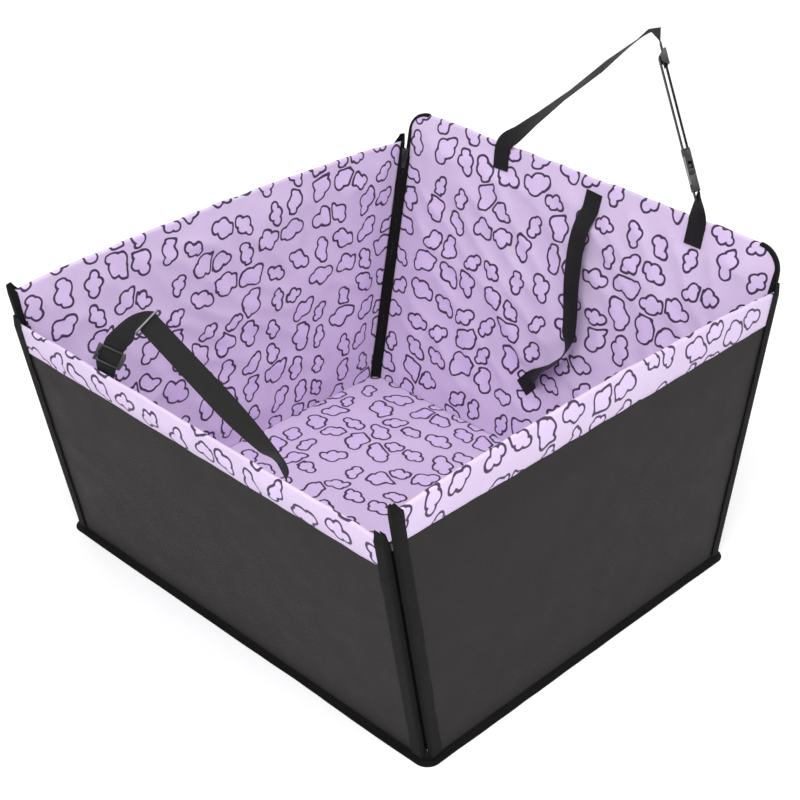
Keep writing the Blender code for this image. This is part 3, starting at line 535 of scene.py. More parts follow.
def make_band(name, section, frames, look, body, nodes, rings=None, closed=False,
              across_from=-webbing_width / 2, angle=smooth_angle):
    """A closed section carried along frames of (origin, first axis, second axis)."""
    rings = rings or [[origin + first * a + second * b for a, b in section]
                      for origin, first, second in frames]
    count = len(section)
    around = [across_from]
    for near, far in zip(section, section[1:] + section[:1]):
        around.append(around[-1] + dist(near, far))
    lengths = [0]
    for before, after in zip(frames, frames[1:] + frames[:1]):
        lengths.append(lengths[-1] + (after[0] - before[0]).length)
    faces, flats = [], []
    for step in range(len(frames) if closed else len(frames) - 1):
        low, high = step * count, (step + 1) % len(frames) * count
        for side in range(count):
            after = (side + 1) % count
            faces.append((low + side, low + after, high + after, high + side))
            flats += [(around[side], lengths[step]), (around[side + 1], lengths[step]),
                      (around[side + 1], lengths[step + 1]), (around[side], lengths[step + 1])]
    if not closed:
        last = (len(frames) - 1) * count
        faces += [tuple(reversed(range(count))), tuple(range(last, last + count))]
        flats += list(reversed(section)) + section
    piece = new_piece(name, [place for ring in rings for place in ring], faces, flats)
    shape = bmesh.new()
    shape.from_mesh(piece.data)
    bmesh.ops.recalc_face_normals(shape, faces=shape.faces)
    shape.to_mesh(piece.data)
    shape.free()
    return settle(piece, look, body, nodes, angle)


def make_stitches(name, rows, look, body, pitch=stitch_pitch, length=stitch_length):
    """Stitches laid end to end along rows of (place, outward) points, as one piece."""
    ring = [(0.5, 0, 0), (0, 0.5, 0), (-0.5, 0, 0), (0, -0.5, 0), (0, 0, 0.5), (0, 0, -0.5)]
    shell = [(0, 1, 4), (1, 2, 4), (2, 3, 4), (3, 0, 4), (1, 0, 5), (2, 1, 5), (3, 2, 5), (0, 3, 5)]
    places, faces, flats = [], [], []
    for row in rows:
        travelled = 0
        due = pitch / 2
        for (start, out), (end, _) in zip(row, row[1:]):
            way = end - start
            ahead = way.normalized()
            across = ahead.cross(out).normalized()
            while due <= travelled + way.length:
                centre = start + way * ((due - travelled) / way.length)
                first = len(places)
                places += [centre + ahead * a * length + across * b * stitch_width
                           + out * c * stitch_width for a, b, c in ring]
                faces += [tuple(first + corner for corner in face) for face in shell]
                flats += [(places[first][0], places[first][2])] * 3 * len(shell)
                due += pitch
            travelled += way.length
    settle(new_piece(name, places, faces, flats), look, body, [],
           radians(180))


# Walls

def slope_height(height, lean):
    """Length up a leaning wall from its fold line to an upright height."""
    return (height - fold_height) / cos(lean)


def ripple(x, y, z):
    """Smooth noise, from about -1 to 1."""
    return noise.noise(Vector((x, y, z)))


def ease(value):
    """A soft step from 0 to 1."""
    value = min(max(value, 0), 1)
    return value * value * (3 - 2 * value)


def end_fade(across, steepness):
    """1 over the middle of a span from 0 to 1, with a soft fall to 0 at both ends."""
    return ease(across * steepness) * ease((1 - across) * steepness)


class Wall:
    """A wall's own frame, along its fold line, outwards and up its slope, and its cloth."""

    def __init__(self, name, heading, half_length, set_back, height, lean, slopes, crown, radius,
                 puffed, seed):
        self.name = name
        self.along = Vector((cos(heading), sin(heading), 0))
        level_out = Vector((-sin(heading), cos(heading), 0))
        self.up = up_axis * cos(lean) + level_out * sin(lean)
        self.out = level_out * cos(lean) - up_axis * sin(lean)
        self.foot = level_out * set_back + up_axis * fold_height
        self.half_length = half_length
        self.slopes = slopes
        self.crown = crown
        self.radius = radius
        self.puffed = puffed
        self.top = slope_height(height, lean)
        self.plate_top = self.top - hem_turn_radius - cloth
        self.seed = seed
        self.cut = [seed * step for step in print_shift]
        self.hem_puff = front_hem_puff if name == "front_wall" else hem_puff
        self.still = []

    def place(self, along, out, up):
        """World place of a point of this wall."""
        return self.foot + self.along * along + self.out * out + self.up * up

    def key(self, along, up):
        """A point of webbing laid flat on the lining, with its width direction."""
        return (self.place(along, -seat, up), self.along)

    def edge(self, side, up, inset):
        """Distance along the wall of its side edge, an inset in from the corner line."""
        slope = self.slopes[side]
        reach = self.half_length + slope * up - inset * hypot(1, slope)
        return reach if side else -reach

    def at_share(self, share, up, inset):
        """Distance along the wall at a share of its width, for one height."""
        low, high = self.edge(0, up, inset), self.edge(1, up, inset)
        return low + (high - low) * share

    def width(self, inset):
        """Width at the top of the boards."""
        return self.edge(1, self.plate_top, inset) - self.edge(0, self.plate_top, inset)

    def from_sides(self, along, up, inset):
        """Distance in from the nearer side edge."""
        return min(along - self.edge(0, up, inset), self.edge(1, up, inset) - along)

    def shares(self, inset, count):
        """Shares of the width where columns stand, closer at the ends."""
        width = self.width(inset)
        end = (self.radius or binding_width + clearance) / width
        ends = [k / end_steps for k in range(end_steps + 1)]
        if self.radius:
            ends = [1 - cos(k * pi / 2) for k in ends]
        ends = [end * k for k in ends]
        middle = [end + (1 - 2 * end) * k / count for k in range(1, count)]
        return ends + middle + [1 - e for e in reversed(ends)], end

    def straight(self, share, end):
        """Whether the rim is straight here, between round or bound ends."""
        return end * 0.999 <= share <= 1 - end * 0.999

    def rim(self, share, inset):
        """Height of the boards' top edge at a share of the width."""
        height = self.plate_top + self.crown * (1 - (2 * share - 1) ** 2)
        from_end = min(share, 1 - share) * self.width(inset)
        if self.radius and from_end < self.radius:
            short = self.radius - from_end
            height -= self.radius - sqrt(self.radius ** 2 - short ** 2)
        return height

    def hem_edge(self, rim):
        """Height of the hem's lower edge."""
        return min(self.plate_top - hem_depth, rim - hem_turn_radius)

    def puff(self, share, end, up, rim):
        """How far the lining stands in from the board, apart from its small creases."""
        reach = (rim - wall_foot) * self.puffed
        if not reach or not wall_foot < up < wall_foot + reach:
            return 0
        across = (share - end) / (1 - 2 * end)
        if not 0 < across < 1:
            return 0
        rise = (up - wall_foot) / reach
        return lining_puff * sin(pi * across) * sin(pi * rise)

    def freedom(self, along, up, rim, margin):
        """How free the lining is, from 0 at its seams and under sewn straps to 1."""
        side = self.from_sides(along, up, lining_inset) - binding_inner_width
        free = ease(min(side, up - wall_foot, rim - up) / margin)
        for x, half, low, high in self.still:
            away = max(abs(along - x) - half, low - up, up - high)
            free *= ease(away / still_free)
        return free

    def crease(self, along, up, length, start=0):
        """Soft creases of unit height and a length in metres; start picks their noise."""
        return ripple(along / length + start, up / length * 0.6, self.seed)

    def gathers(self, along, up, length, sway, sway_length, start, slant=0):
        """Small gathers at a seam, from 0 to 1."""
        swayed = sway * self.crease(along, up, sway_length, start)
        return 0.5 + 0.5 * sin((along + slant * up) / length + swayed)

    def lining_depth(self, along, up, share, end, rim):
        """How far in from flat on the board the lining's face lies."""
        folds = 0.5 + self.crease(along, up, fold_length)
        slant = 1 - abs(self.crease(along + up * 0.8, up, slant_length, 5))
        fine = 0.5 + self.crease(along, up, fine_length, 9)
        depth = fold_depth * folds + slant_depth * slant ** 5 + fine_depth * fine
        depth *= self.freedom(along, up, rim, lining_free)
        from_seam = min(up - wall_foot, rim - up)
        side = self.from_sides(along, up, lining_inset) - binding_inner_width
        gather = lining_gather_depth * self.gathers(along, up, *lining_gathers)
        gather *= max(0, 1 - from_seam / lining_gather_reach) * ease(from_seam / seam_free)
        gather *= ease(side / side_free) * self.freedom(along, up, rim, seam_free)
        return depth + gather + self.puff(share, end, up, rim)

    def lining_points(self, share, end, rim):
        """The lining's (outward, up) places at a share of the width, from foot to hem."""
        middle = cloth / 2
        across = min(max((share - end) / (1 - 2 * end), 0), 1)
        points = []
        for row in range(lining_rows):
            up = wall_foot + (rim - wall_foot) * row / lining_rows
            along = self.at_share(share, up, lining_inset)
            depth = self.lining_depth(along, up, share, end, rim)
            points.append((-layer_near - middle - depth, up))
        points.append((-layer_near - middle, rim))
        if self.radius and not self.straight(share, end):
            return points
        radius = hem_turn_radius + middle
        along = self.at_share(share, rim, lining_inset)
        crown = 0.5 + 0.8 * self.crease(along, rim, rim_wave_length, 31)
        crown = rim_lift * min(max(crown, 0), 1) * end_fade(across, crown_fade)
        crown *= self.freedom(along, rim - 0.02, rim, rim_free)
        for step in range(1, turn_steps + 1):
            turn = pi * (1 - step / turn_steps)
            points.append((hem_turn_centre + radius * cos(turn),
                           rim + (radius + crown) * sin(turn)))
        edge_wave = hem_edge_depth * self.crease(along, rim, hem_edge_length, 27)
        hem_end = self.hem_edge(rim) + edge_wave * end_fade(across, hem_fade)
        drawn = hem_gather_depth * self.gathers(along, rim, *hem_gathers) * end_fade(across, gather_fade)
        for row in range(1, hem_rows + 1):
            fall = row / hem_rows
            wave = 0.5 + 0.9 * self.crease(along + 0.012 * fall, rim, hem_wave_length, 21 + 0.4 * fall)
            swell = min(max(wave, 0.1), 1) * sin(pi * across) ** 0.4
            roll = 1 - abs(self.crease(along + 0.006 * fall, rim, hem_roll_length, 50))
            swell += 0.55 * roll ** 3 * end_fade(across, hem_fade)
            arch = sin(pi * fall)
            bulge = self.hem_puff * swell * arch + drawn * arch ** 0.5
            points.append((hem_near + middle + bulge, rim + (hem_end - rim) * fall))
        return points

    def make_lining(self):
        """Printed cloth up the inside, turned over the top, hemmed and sewn on the outside."""
        shares, end = self.shares(lining_inset, lining_columns)
        columns, stitches = [], []
        for share in shares:
            rim = self.rim(share, lining_inset)
            column, travelled = [], 0
            for out, up in self.lining_points(share, end, rim):
                place = self.place(self.at_share(share, up, lining_inset), out, up)
                if column:
                    travelled += (place - column[-1][0]).length
                base = self.at_share(share, min(up, rim), lining_inset)
                column.append((place, (base + self.cut[0], travelled + self.cut[1])))
            columns.append(column)
            if self.straight(share, end):
                up = self.hem_edge(rim) + hem_seam_rise
                along = self.at_share(share, up, lining_inset)
                stitches.append((self.place(along, hem_far + stitch_off, up), self.out))
        make_cloth(self.name + "_printed_lining", columns, "printed_oxford", self.name,
                   [self.name + "_lining"])
        make_stitches(self.name + "_hem_stitches", [stitches], "pale_thread", self.name)

    def make_skin(self):
        """Coated black cloth on the outside, gently full between its seams."""
        columns = []
        for share in self.shares(edge_inset, skin_columns)[0]:
            rim = self.rim(share, edge_inset)
            column = []
            for row in range(skin_rows + 1):
                up = wall_foot + (rim - wall_foot) * row / skin_rows
                along = self.at_share(share, up, edge_inset)
                side = self.from_sides(along, up, edge_inset) - binding_width
                least = min(side, up - wall_foot, self.plate_top - hem_depth - up)
                wave = 0.5 + self.crease(along, up, skin_wave_length, 33)
                full = ease(least / skin_free) * (skin_fullness + skin_wave_depth * wave)
                near = max(0, 1 - max(min(side, up - wall_foot), 0) / skin_gather_reach)
                gather = skin_gather_depth * self.gathers(along, up, *skin_gathers, slant=1)
                full += near * gather * ease(least / seam_free)
                column.append((self.place(along, layer_near + cloth / 2 + full, up), (along, up)))
            columns.append(column)
        make_cloth(self.name + "_outer_cloth", columns, "black_oxford", self.name,
                   [self.name + "_skin"])

    def binding_frames(self, side, straight_top):
        """Frames up one side edge, then round the wall's corner or on past its rim."""
        outward = self.along if side else -self.along
        slope = self.slopes[side]
        rise = (self.up + outward * slope).normalized()
        inward = (self.up * slope - outward).normalized()
        frames = []
        for step in range(binding_steps + 1):
            up = wall_foot + (straight_top - wall_foot) * step / binding_steps
            frames.append((self.place(self.edge(side, up, edge_inset), 0, up), inward, self.out))
        last = frames[-1][0]
        if self.radius:
            centre = last + inward * self.radius
            for step in range(1, arc_steps + 1):
                turn = step * pi / 2 / arc_steps
                spoke = inward * cos(turn) - self.up * sin(turn)
                frames.append((centre - spoke * self.radius, spoke, self.out))
        else:
            above = hem_turn_radius + cloth + stub_height
            for step in range(1, stub_steps + 1):
                frames.append((last + rise * above * step / stub_steps, inward, self.out))
        return frames

    def make_binding(self, side, name):
        """Grosgrain folded round one side edge of the stack, its two edges sewn through."""
        straight_top = self.top - self.radius if self.radius else self.plate_top
        frames = self.binding_frames(side, straight_top)
        steps = binding_steps
        middle = tape / 2
        inner, outer = -layer_far - clearance - middle, binding_outer + middle
        web = -clearance - middle
        bend = binding_bend
        line = [(binding_inner_width, inner), (binding_inner_width * 0.6, inner - 0.0001),
                (binding_inner_width * 0.25, inner), (web + bend, inner),
                (web + bend * 0.3, inner + bend * 0.3), (web, inner + bend),
                (web, (inner + outer) / 2), (web, outer - bend),
                (web + bend * 0.3, outer - bend * 0.3), (web + bend, outer),
                (binding_width * 0.3, outer), (binding_width * 0.6, outer + 0.00015),
                (binding_width * 0.85, outer + 0.0001), (binding_width, outer - 0.0001)]
        columns = []
        for index, (origin, first, second) in enumerate(frames):
            wander = ripple(index * 0.21, self.seed, side * 7)
            slow = ripple(index * 0.11, self.seed + 3, side * 5)
            pinch = binding_pinch * sin(index * 1.9 + self.seed) * ease(index / 8)
            end_share = max(0, index - steps) / (len(frames) - 1 - steps)
            closing = 0 if self.radius else stub_closing * end_share
            narrow = stub_taper * end_share if self.name in ("left_wall", "right_wall") else 0
            arc_share = min(1, max(0, index - steps + 6) / 8) if self.radius else 0
            # The bindings of a corner draw together at its foot
            risen = (straight_top - wall_foot) * min(index / steps, 1)
            flare = foot_flare * ease(1 - risen / foot_flare_height)
            column, travelled = [], 0
            for a, b in line:
                grown = a + (binding_wander * wander if a > 0.004 else 0)
                grown -= flare * max(0, 1 - (a - web) / foot_flare_depth)
                lifted = b + (pinch if b > 0 and a > 0.002 else 0)
                if b > 0 and a > 0.001:
                    lifted += binding_lift * max(0, slow) * min(1, max(0, index - 3) / 6) \
                        * (1 - end_share)
                if b < 0 and a > 0.001:
                    grown *= 1 - arc_narrowing * arc_share
                if b > 0:
                    lifted -= (hem_far - layer_far) * arc_share
                lifted += ((inner + outer) / 2 - lifted) * closing
                grown = web + (grown - web) * (1 - narrow)
                place = origin + first * grown + second * lifted
                if column:
                    travelled += (place - column[-1][0]).length
                column.append((place, (travelled, (origin - frames[0][0]).length)))
            columns.append(column)
        make_cloth(name.replace("binding", "grosgrain"), columns, "binding_tape", self.name, [name],
                   tape)
        rows = []
        for a, b, out in ((binding_width - 0.002, outer + middle + 0.0003, self.out),
                          (binding_inner_width - 0.0016, inner - middle - 0.0001, -self.out)):
            rows.append([(origin + first * a + second * b, out)
                         for origin, first, second in frames[3:steps - 8 if b < 0 else steps]])
        make_stitches(name.replace("binding", "tape_stitches"), rows, "thread", self.name)


half_width = base_width / 2
half_depth = base_depth / 2
front_slope = tan(front_lean)
back_slope = tan(back_lean)
wall_rows = (
    ("front_wall", pi, half_width, half_depth, front_wall_height, front_lean, (0, 0), 0, 0,
     front_puffed_share, 1),
    ("back_wall", 0, half_width, half_depth, back_wall_height, back_lean, (0, 0), 0,
     back_corner_radius, 0, 2),
    ("left_wall", pi / 2, half_depth, half_width, side_wall_height, 0,
     (front_slope, back_slope), side_crown, 0, 1, 3),
    ("right_wall", -pi / 2, half_depth, half_width, side_wall_height, 0,
     (back_slope, front_slope), side_crown, 0, 1, 4),
)
walls = {row[0]: Wall(*row) for row in wall_rows}
front, back = walls["front_wall"], walls["back_wall"]
half_web = webbing_width / 2
for x in (strap_centre - anchor_half_span, strap_centre + anchor_half_span):
    back.still.append((x, half_web + 0.002, back.top - tab_depth - 0.002, back.top))
for (x0, s0, _, _), (x1, s1, _, _) in (guide_rows[:2], guide_rows[-2:]):
    back.still.append(((x0 + x1) / 2, half_web + abs(x1 - x0), back.top * min(s0, s1) - 0.012,
                       back.top * max(s0, s1) + 0.012))
for x in (-front_anchor_x, -front_glide_x):
    front.still.append((x, half_web + 0.012, front.top - front_tab_depth - front_tab_length - 0.004,
                        front.top))
for wall in walls.values():
    wall.make_lining()
    wall.make_skin()

binding_rows = (
    ("front_wall", 1, "left"), ("front_wall", 0, "right"),
    ("back_wall", 0, "left"), ("back_wall", 1, "right"),
    ("left_wall", 0, "front"), ("left_wall", 1, "back"),
    ("right_wall", 1, "front"), ("right_wall", 0, "back"),
)
for wall_name, side, end_name in binding_rows:
    walls[wall_name].make_binding(side, wall_name + "_binding_" + end_name)


# Base

def rounded_loop(half_x, half_y, radius, steps, straight):
    """Places and outward directions round a rectangle with round corners, evenly along it."""
    loop = []
    corners = ((1, 1), (-1, 1), (-1, -1), (1, -1))
    for quarter, (side_x, side_y) in enumerate(corners):
        centre = Vector((side_x * (half_x - radius), side_y * (half_y - radius), 0))
        for step in range(steps + 1):
            turn = (quarter + step / steps) * pi / 2
            outward = Vector((cos(turn), sin(turn), 0))
            loop.append((centre + outward * radius, outward))
        next_x, next_y = corners[(quarter + 1) % 4]
        ahead = Vector((next_x * (half_x - radius), next_y * (half_y - radius), 0)) + outward * radius
        start = loop[-1][0]
        for step in range(1, straight):
            loop.append((start.lerp(ahead, step / straight), outward))
    return loop


def make_base_cloth(name, level, rise, look, nodes):
    """One cloth of the base: a crowned sheet inside the seam."""
    columns = []
    for step in range(base_columns + 1):
        x = (step / base_columns * 2 - 1) * (half_width - clearance)
        past = max(0, abs(x) - half_width + base_corner_radius)
        cut_back = base_corner_radius - sqrt(base_corner_radius ** 2 - past ** 2)
        column = []
        for row in range(base_rows + 1):
            y = (row / base_rows * 2 - 1) * (half_depth - clearance - cut_back)
            free = ease(min(half_width - abs(x), half_depth - abs(y)) / base_free)
            folds = 0.5 + ripple(x / 0.09, y / 0.07, 40)
            fine = 0.5 + ripple(x / 0.026, y / 0.03, 44)
            ridge = (1 - abs(ripple((x + y) / 0.07, (x - y) / 0.16, 47))) ** 6
            lift = rise * free * (0.45 + 0.35 * folds + 0.14 * fine + 0.3 * ridge)
            flat = (x + base_print_shift[0], y + base_print_shift[1])
            column.append((Vector((x, y, level + lift)), flat))
        columns.append(column)
    make_cloth(name, columns, look, "base", nodes)


def make_base_binding():
    """Grosgrain folded round the base's seam, its edge a flange that wanders a little."""
    frames = [(place, outward, up_axis) for place, outward in rounded_loop(
        half_width, half_depth, base_corner_radius, base_corner_steps, base_side_steps)]
    section = [
        (base_tape_gap, 0.0001), (0.003, 0), (flange_width - 0.0006, 0), (flange_width, 0.0003),
        (flange_width + 0.0001, flange_thickness / 2), (flange_width - 0.0002, flange_thickness),
        (flange_width * 0.6, flange_thickness + 0.0001), (0.0022, flange_thickness),
        (base_web_far + 0.0001, flange_thickness + 0.0003), (base_web_far, base_top - 0.0004),
        (base_tape_gap, base_top),
    ]
    tab_starts, tab_full = [sin(turn) for turn in corner_tab_turns]
    rings = []
    for origin, first, second in frames:
        wander = ripple(origin.x * 9, origin.y * 9, 3)
        small = ripple(origin.x * 34, origin.y * 34, 8)
        # Round each corner the tape's end is turned up between the walls' bindings
        tab_share = (min(abs(first.x), abs(first.y)) - tab_starts) / (tab_full - tab_starts)
        tab_rise = corner_tab_rise * min(max(tab_share, 0), 1)
        corner_lean = -front_slope if origin.y < 0 else back_slope
        ring = []
        for a, b in section:
            turned_up = tab_rise if b > base_top / 2 else 0
            outer_share = max(0, (a - 0.002) / flange_width)
            across = a + outer_share * (flange_wander * wander + flange_ripple * small)
            waved = flange_wave * (max(wander, 0) + max(small, 0))
            up = b + turned_up + outer_share ** 2 * waved
            lean = Vector((0, corner_lean * turned_up, 0))
            ring.append(origin + first * across + second * up + lean)
        rings.append(ring)
    make_band("base_grosgrain", section, frames, "binding_tape", "base", ["base_binding"], rings,
              closed=True, across_from=0)
    row = [(ring[7] + (ring[6] - ring[7]) * 0.35, up_axis) for ring in rings]
    make_stitches("base_seam_stitches", [row + row[:1]], "thread", "base")


make_base_cloth("base_printed_lining", base_top - cloth / 2, base_swell, "printed_oxford",
                ["base_lining"])
make_base_cloth("base_outer_cloth", cloth / 2, 0, "black_oxford", ["base_skin"])
make_base_binding()


# Zips

def make_zip_half(corner, wall, foot, line, first, second, top, phase, coil_top):
    """One woven tape with its coil, sewn on a wall's binding."""
    near = binding_inner_far + clearance
    far = near + zip_tape
    root = sqrt(2)
    chord, lift = 2 * zip_inset, zip_tape / 2 * root
    centre_out = (coil_gap / 2 + coil_radius) / root
    bead_a, bead_b = zip_inset + centre_out, zip_inset - centre_out
    inner = (coil_gap / 2 + coil_radius - tape_tip_gap) / root
    tip_a, tip_b = bead_a - inner, bead_b + inner
    half, full = tape_tip / 2 / root, zip_tape / 2 / root
    section = [(zip_tape_reach, near), (chord - lift - near, near),
               (bead_a + tape_bend - full, bead_b - tape_bend - full), (tip_a - half, tip_b - half),
               (tip_a + half, tip_b + half), (bead_a + tape_bend + full, bead_b - tape_bend + full),
               (chord + lift - far, far), (zip_tape_reach, far)]
    frames = [(foot + line * (zip_foot + (top - zip_foot) * k / zip_steps), first, second)
              for k in range(zip_steps + 1)]
    name = "zip_" + corner + "_on_" + wall.name.split("_")[0]
    make_band(name + "_tape", section, frames, "zip_tape", wall.name, [name])

    # The coil: an oval spiral that reaches past the middle, between the turns of the other one
    toward = (second - first).normalized()
    lifted = (first + second).normalized()
    centre = foot + first * bead_a + second * bead_b
    turns = int((coil_top - zip_foot) / coil_pitch) - 1
    middle_reach = coil_gap / 2 + coil_radius + coil_overlap
    half_reach = (middle_reach + coil_radius) / 2 - coil_wire
    shift_in = (middle_reach - coil_radius) / 2
    frames = []
    for step in range(turns * coil_steps + 1):
        turn = 2 * pi * step / coil_steps
        up = zip_foot + coil_pitch * (0.5 + phase + step / coil_steps)
        spot = centre + toward * (shift_in + half_reach * cos(turn))
        spot += lifted * (coil_radius - coil_wire) * sin(turn) + line * up
        frames.append((spot, (toward * cos(turn) + lifted * sin(turn)).normalized(), line))
    wire = [(coil_wire, 0), (0, coil_wire), (-coil_wire, 0), (0, -coil_wire)]
    make_band(name + "_coil", wire, frames, "coil", wall.name, [],
              angle=radians(180))


def make_softened(node, name, look, body, radius):
    """A copy of a hard solid with its edges rounded, as moulded or cast."""
    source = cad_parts[node]
    mesh = source.data.copy()
    mesh.transform(source.matrix_world)
    shape = bmesh.new()
    shape.from_mesh(mesh)
    bmesh.ops.remove_doubles(shape, verts=shape.verts, dist=0.00001)
    bmesh.ops.dissolve_limit(shape, angle_limit=radians(1), verts=shape.verts, edges=shape.edges)
    shape.to_mesh(mesh)
    shape.free()
    mesh.name = name
    piece = show_mesh(name, mesh)
    apply_modifier(piece, "BEVEL", width=radius, segments=2, limit_method="ANGLE",
                   angle_limit=smooth_angle, use_clamp_overlap=True)
    settle(piece, look, body, [node])


corner_rows = (
    ("front_left", -1, "front_wall", "left_wall"), ("front_right", 1, "front_wall", "right_wall"),
    ("back_left", -1, "back_wall", "left_wall"), ("back_right", 1, "back_wall", "right_wall"),
)
for corner, side_sign, end_name, side_name in corner_rows:
    end_wall, side_wall = walls[end_name], walls[side_name]
    from_side, from_end = Vector((-side_sign, 0, 0)), -end_wall.out
    end_sign = -1 if end_name == "front_wall" else 1
    foot = Vector((side_sign * half_width, end_sign * half_depth, fold_height))
    upright = min(front_wall_height if end_sign < 0 else side_wall_height, side_wall_height)
    lean = front_lean if end_sign < 0 else back_lean
    zip_top = slope_height(upright, lean) - zip_below_rim
    slider_end = zip_top - slider_below_end - slider_length / 2 - 2 * clearance
    make_zip_half(corner, end_wall, foot, end_wall.up, from_side, from_end, slider_end, 0, slider_end)
    make_zip_half(corner, side_wall, foot, end_wall.up, from_end, from_side, zip_top, 0.5, slider_end)
    for part, new_name in (("zip_slider_", "zip_slider_body_"), ("zip_pull_", "zip_pull_tab_")):
        make_softened(part + corner, new_name + corner, "painted_zinc", part + corner, cast_edge)


# Webbing

def smooth_route(keys):
    """Read points from a smooth curve through (place, width direction) keys."""
    ways = [after[0] - before[0] for before, after in zip(keys, keys[1:])]
    headings = [ways[0].normalized()]
    headings += [(a.normalized() + b.normalized()).normalized() for a, b in zip(ways, ways[1:])]
    headings.append(ways[-1].normalized())
    route = []
    for index, way in enumerate(ways):
        start, end = keys[index], keys[index + 1]
        leaving, arriving = headings[index] * way.length, headings[index + 1] * way.length
        for step in range(strap_steps):
            t = step / strap_steps
            place = start[0] + way * (3 * t ** 2 - 2 * t ** 3)
            place += leaving * (t ** 3 - 2 * t ** 2 + t) + arriving * (t ** 3 - t ** 2)
            route.append((place, start[1].lerp(end[1], t)))
    route.append(keys[-1])
    return route


def make_webbing(name, route, body, nodes, squareness=1):
    """Webbing along a route, its edges thinner than its middle."""
    frames = []
    for index, (place, side) in enumerate(route):
        before = route[max(index - 1, 0)][0]
        after = route[min(index + 1, len(route) - 1)][0]
        ahead = (after - before).normalized()
        width = (side - ahead * side.dot(ahead) * squareness).normalized()
        frames.append((place, width, ahead.cross(width).normalized()))
    half, thin, thick = webbing_width / 2, webbing * 0.32, webbing / 2
    upper = [(-half, thin * 0.3), (-half + 0.0004, thin), (-half + 0.0016, thick * 0.9),
             (-half * 0.5, thick), (0, thick), (half * 0.5, thick), (half - 0.0016, thick * 0.9),
             (half - 0.0004, thin), (half, thin * 0.3)]
    section = upper + [(a, -b) for a, b in reversed(upper)]
    return make_band(name, section, frames, "webbing", body, nodes)


class Run:
    """The frame of a straight stretch of webbing: along it, across it and off its face."""

    def __init__(self, start, end, side):
        self.start = start
        self.ahead = (end - start).normalized()
        self.length = (end - start).length
        self.width = (side - self.ahead * side.dot(self.ahead)).normalized()
        self.face = self.ahead.cross(self.width)

    def place(self, across, along, off):
        """World place of a point of this stretch."""
        return self.start + self.width * across + self.ahead * along + self.face * off

    def key(self, along, off=0):
        """A point of this stretch with its width direction."""
        return (self.place(0, along, off), self.width)

    def turn(self, along, off, radius, first_angle):
        """Half a turn round a bar, from an angle in the stretch's own plane."""
        angles = [first_angle + pi * step / loop_steps for step in range(loop_steps + 1)]
        return [self.key(along + radius * sin(angle), off - radius * cos(angle))
                for angle in angles]


def turned(wall, ahead, twist):
    """Width direction of webbing that runs ahead along a wall and is twisted inwards."""
    flat = ahead.cross(wall.out).normalized()
    lift = ahead.cross(flat)
    if flat.dot(wall.along) < 0:
        flat = -flat
    return flat * cos(twist) + lift * sin(twist)


def tab_stitches(name, wall, x, low, high):
    """The sewn box and cross that hold a tab of webbing."""
    left, right = x - half_web + tab_seam_inset, x + half_web - tab_seam_inset
    corners = [(wall.place(along, -seat - webbing / 2 - tab_stitch_off, up), -wall.out)
               for along, up in ((left, low), (right, low), (right, high), (left, high))]
    rows = [corners + corners[:1], corners[::2], corners[1::2]]
    make_stitches(name, rows, "thread", wall.name, tab_stitch_pitch, tab_stitch_length)


main_face = webbing / 2 + clearance
mid_bar_off = main_face + webbing + clearance + glide_bar / 2
glide_loop = glide_bar / 2 + clearance + webbing / 2
bar_off = main_face + bar / 2
bar_loop = bar / 2 + main_face

left_x, right_x = strap_centre - anchor_half_span, strap_centre + anchor_half_span
apex_up = back.top + apex_rise
apex_start = back.place(apex_x + apex_half_width, -seat, apex_up)
buckle_end = back.place(buckle_x, -seat, back.top + buckle_rise)
down = (buckle_end - apex_start).normalized()
run = Run(apex_start, buckle_end, turned(back, down, run_twist))
rise_start, _ = back.key(left_x, back.top)
rise_end = back.place(apex_x - apex_half_width, -seat, apex_up)
rising = (rise_end - rise_start).normalized()
keys = [back.key(left_x, back.top - tab_depth), back.key(left_x, back.top)]
keys += [(rise_start.lerp(rise_end, share), turned(back, rising, radians(twist)))
         for share, twist in rise_twists]
keys.append((back.place(apex_x, -seat, apex_up + apex_half_width / 2), -back.out))
socket_bar = run.length - (bar + buckle_slot) * 2 - socket_body - plug_block - clearance + bar / 2
tail_start = socket_bar - loop_tail
straight_start = glide_from_apex - glide_pitch * 2
straight = [straight_start + (socket_bar - straight_start) * step / 10 for step in range(11)]
route = smooth_route(keys) + [run.key(along) for along in straight]
route += run.turn(socket_bar, bar_off, bar_loop, 0)[1:] + [run.key(tail_start, bar_off + bar_loop)]
make_webbing("headrest_webbing", route, "back_wall", ["headrest_strap"])

route = [run.key(tail_start - clearance, bar_off + bar_loop)]
route += run.turn(glide_from_apex, mid_bar_off, glide_loop, pi)
route.append(run.key(glide_from_apex + loop_tail, mid_bar_off - glide_loop))
piece = make_webbing("headrest_webbing_return", route, None, ["headrest_strap_return"])
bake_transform(piece)

mouth = socket_bar + bar / 2 + buckle_slot + socket_body
plug_bar = mouth + clearance + plug_block + buckle_slot + bar / 2
route = [run.key(plug_bar + loop_tail, bar_off + bar_loop)]
route += run.turn(plug_bar, bar_off, bar_loop, pi)
route += smooth_route([run.key(plug_bar + bar), back.key(right_x, back.top),
                       back.key(right_x, back.top - tab_depth)])
piece = make_webbing("headrest_webbing_short", route, None, ["headrest_strap_short"])
back.place(right_x, -seat, back.top + loop_tail / 2)
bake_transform(piece)
for name, x in (("left", left_x), ("right", right_x)):
    tab_stitches("headrest_tab_stitches_" + name, back, x, back.top - tab_depth + tab_seam_rise,
                 back.top - 0.006)

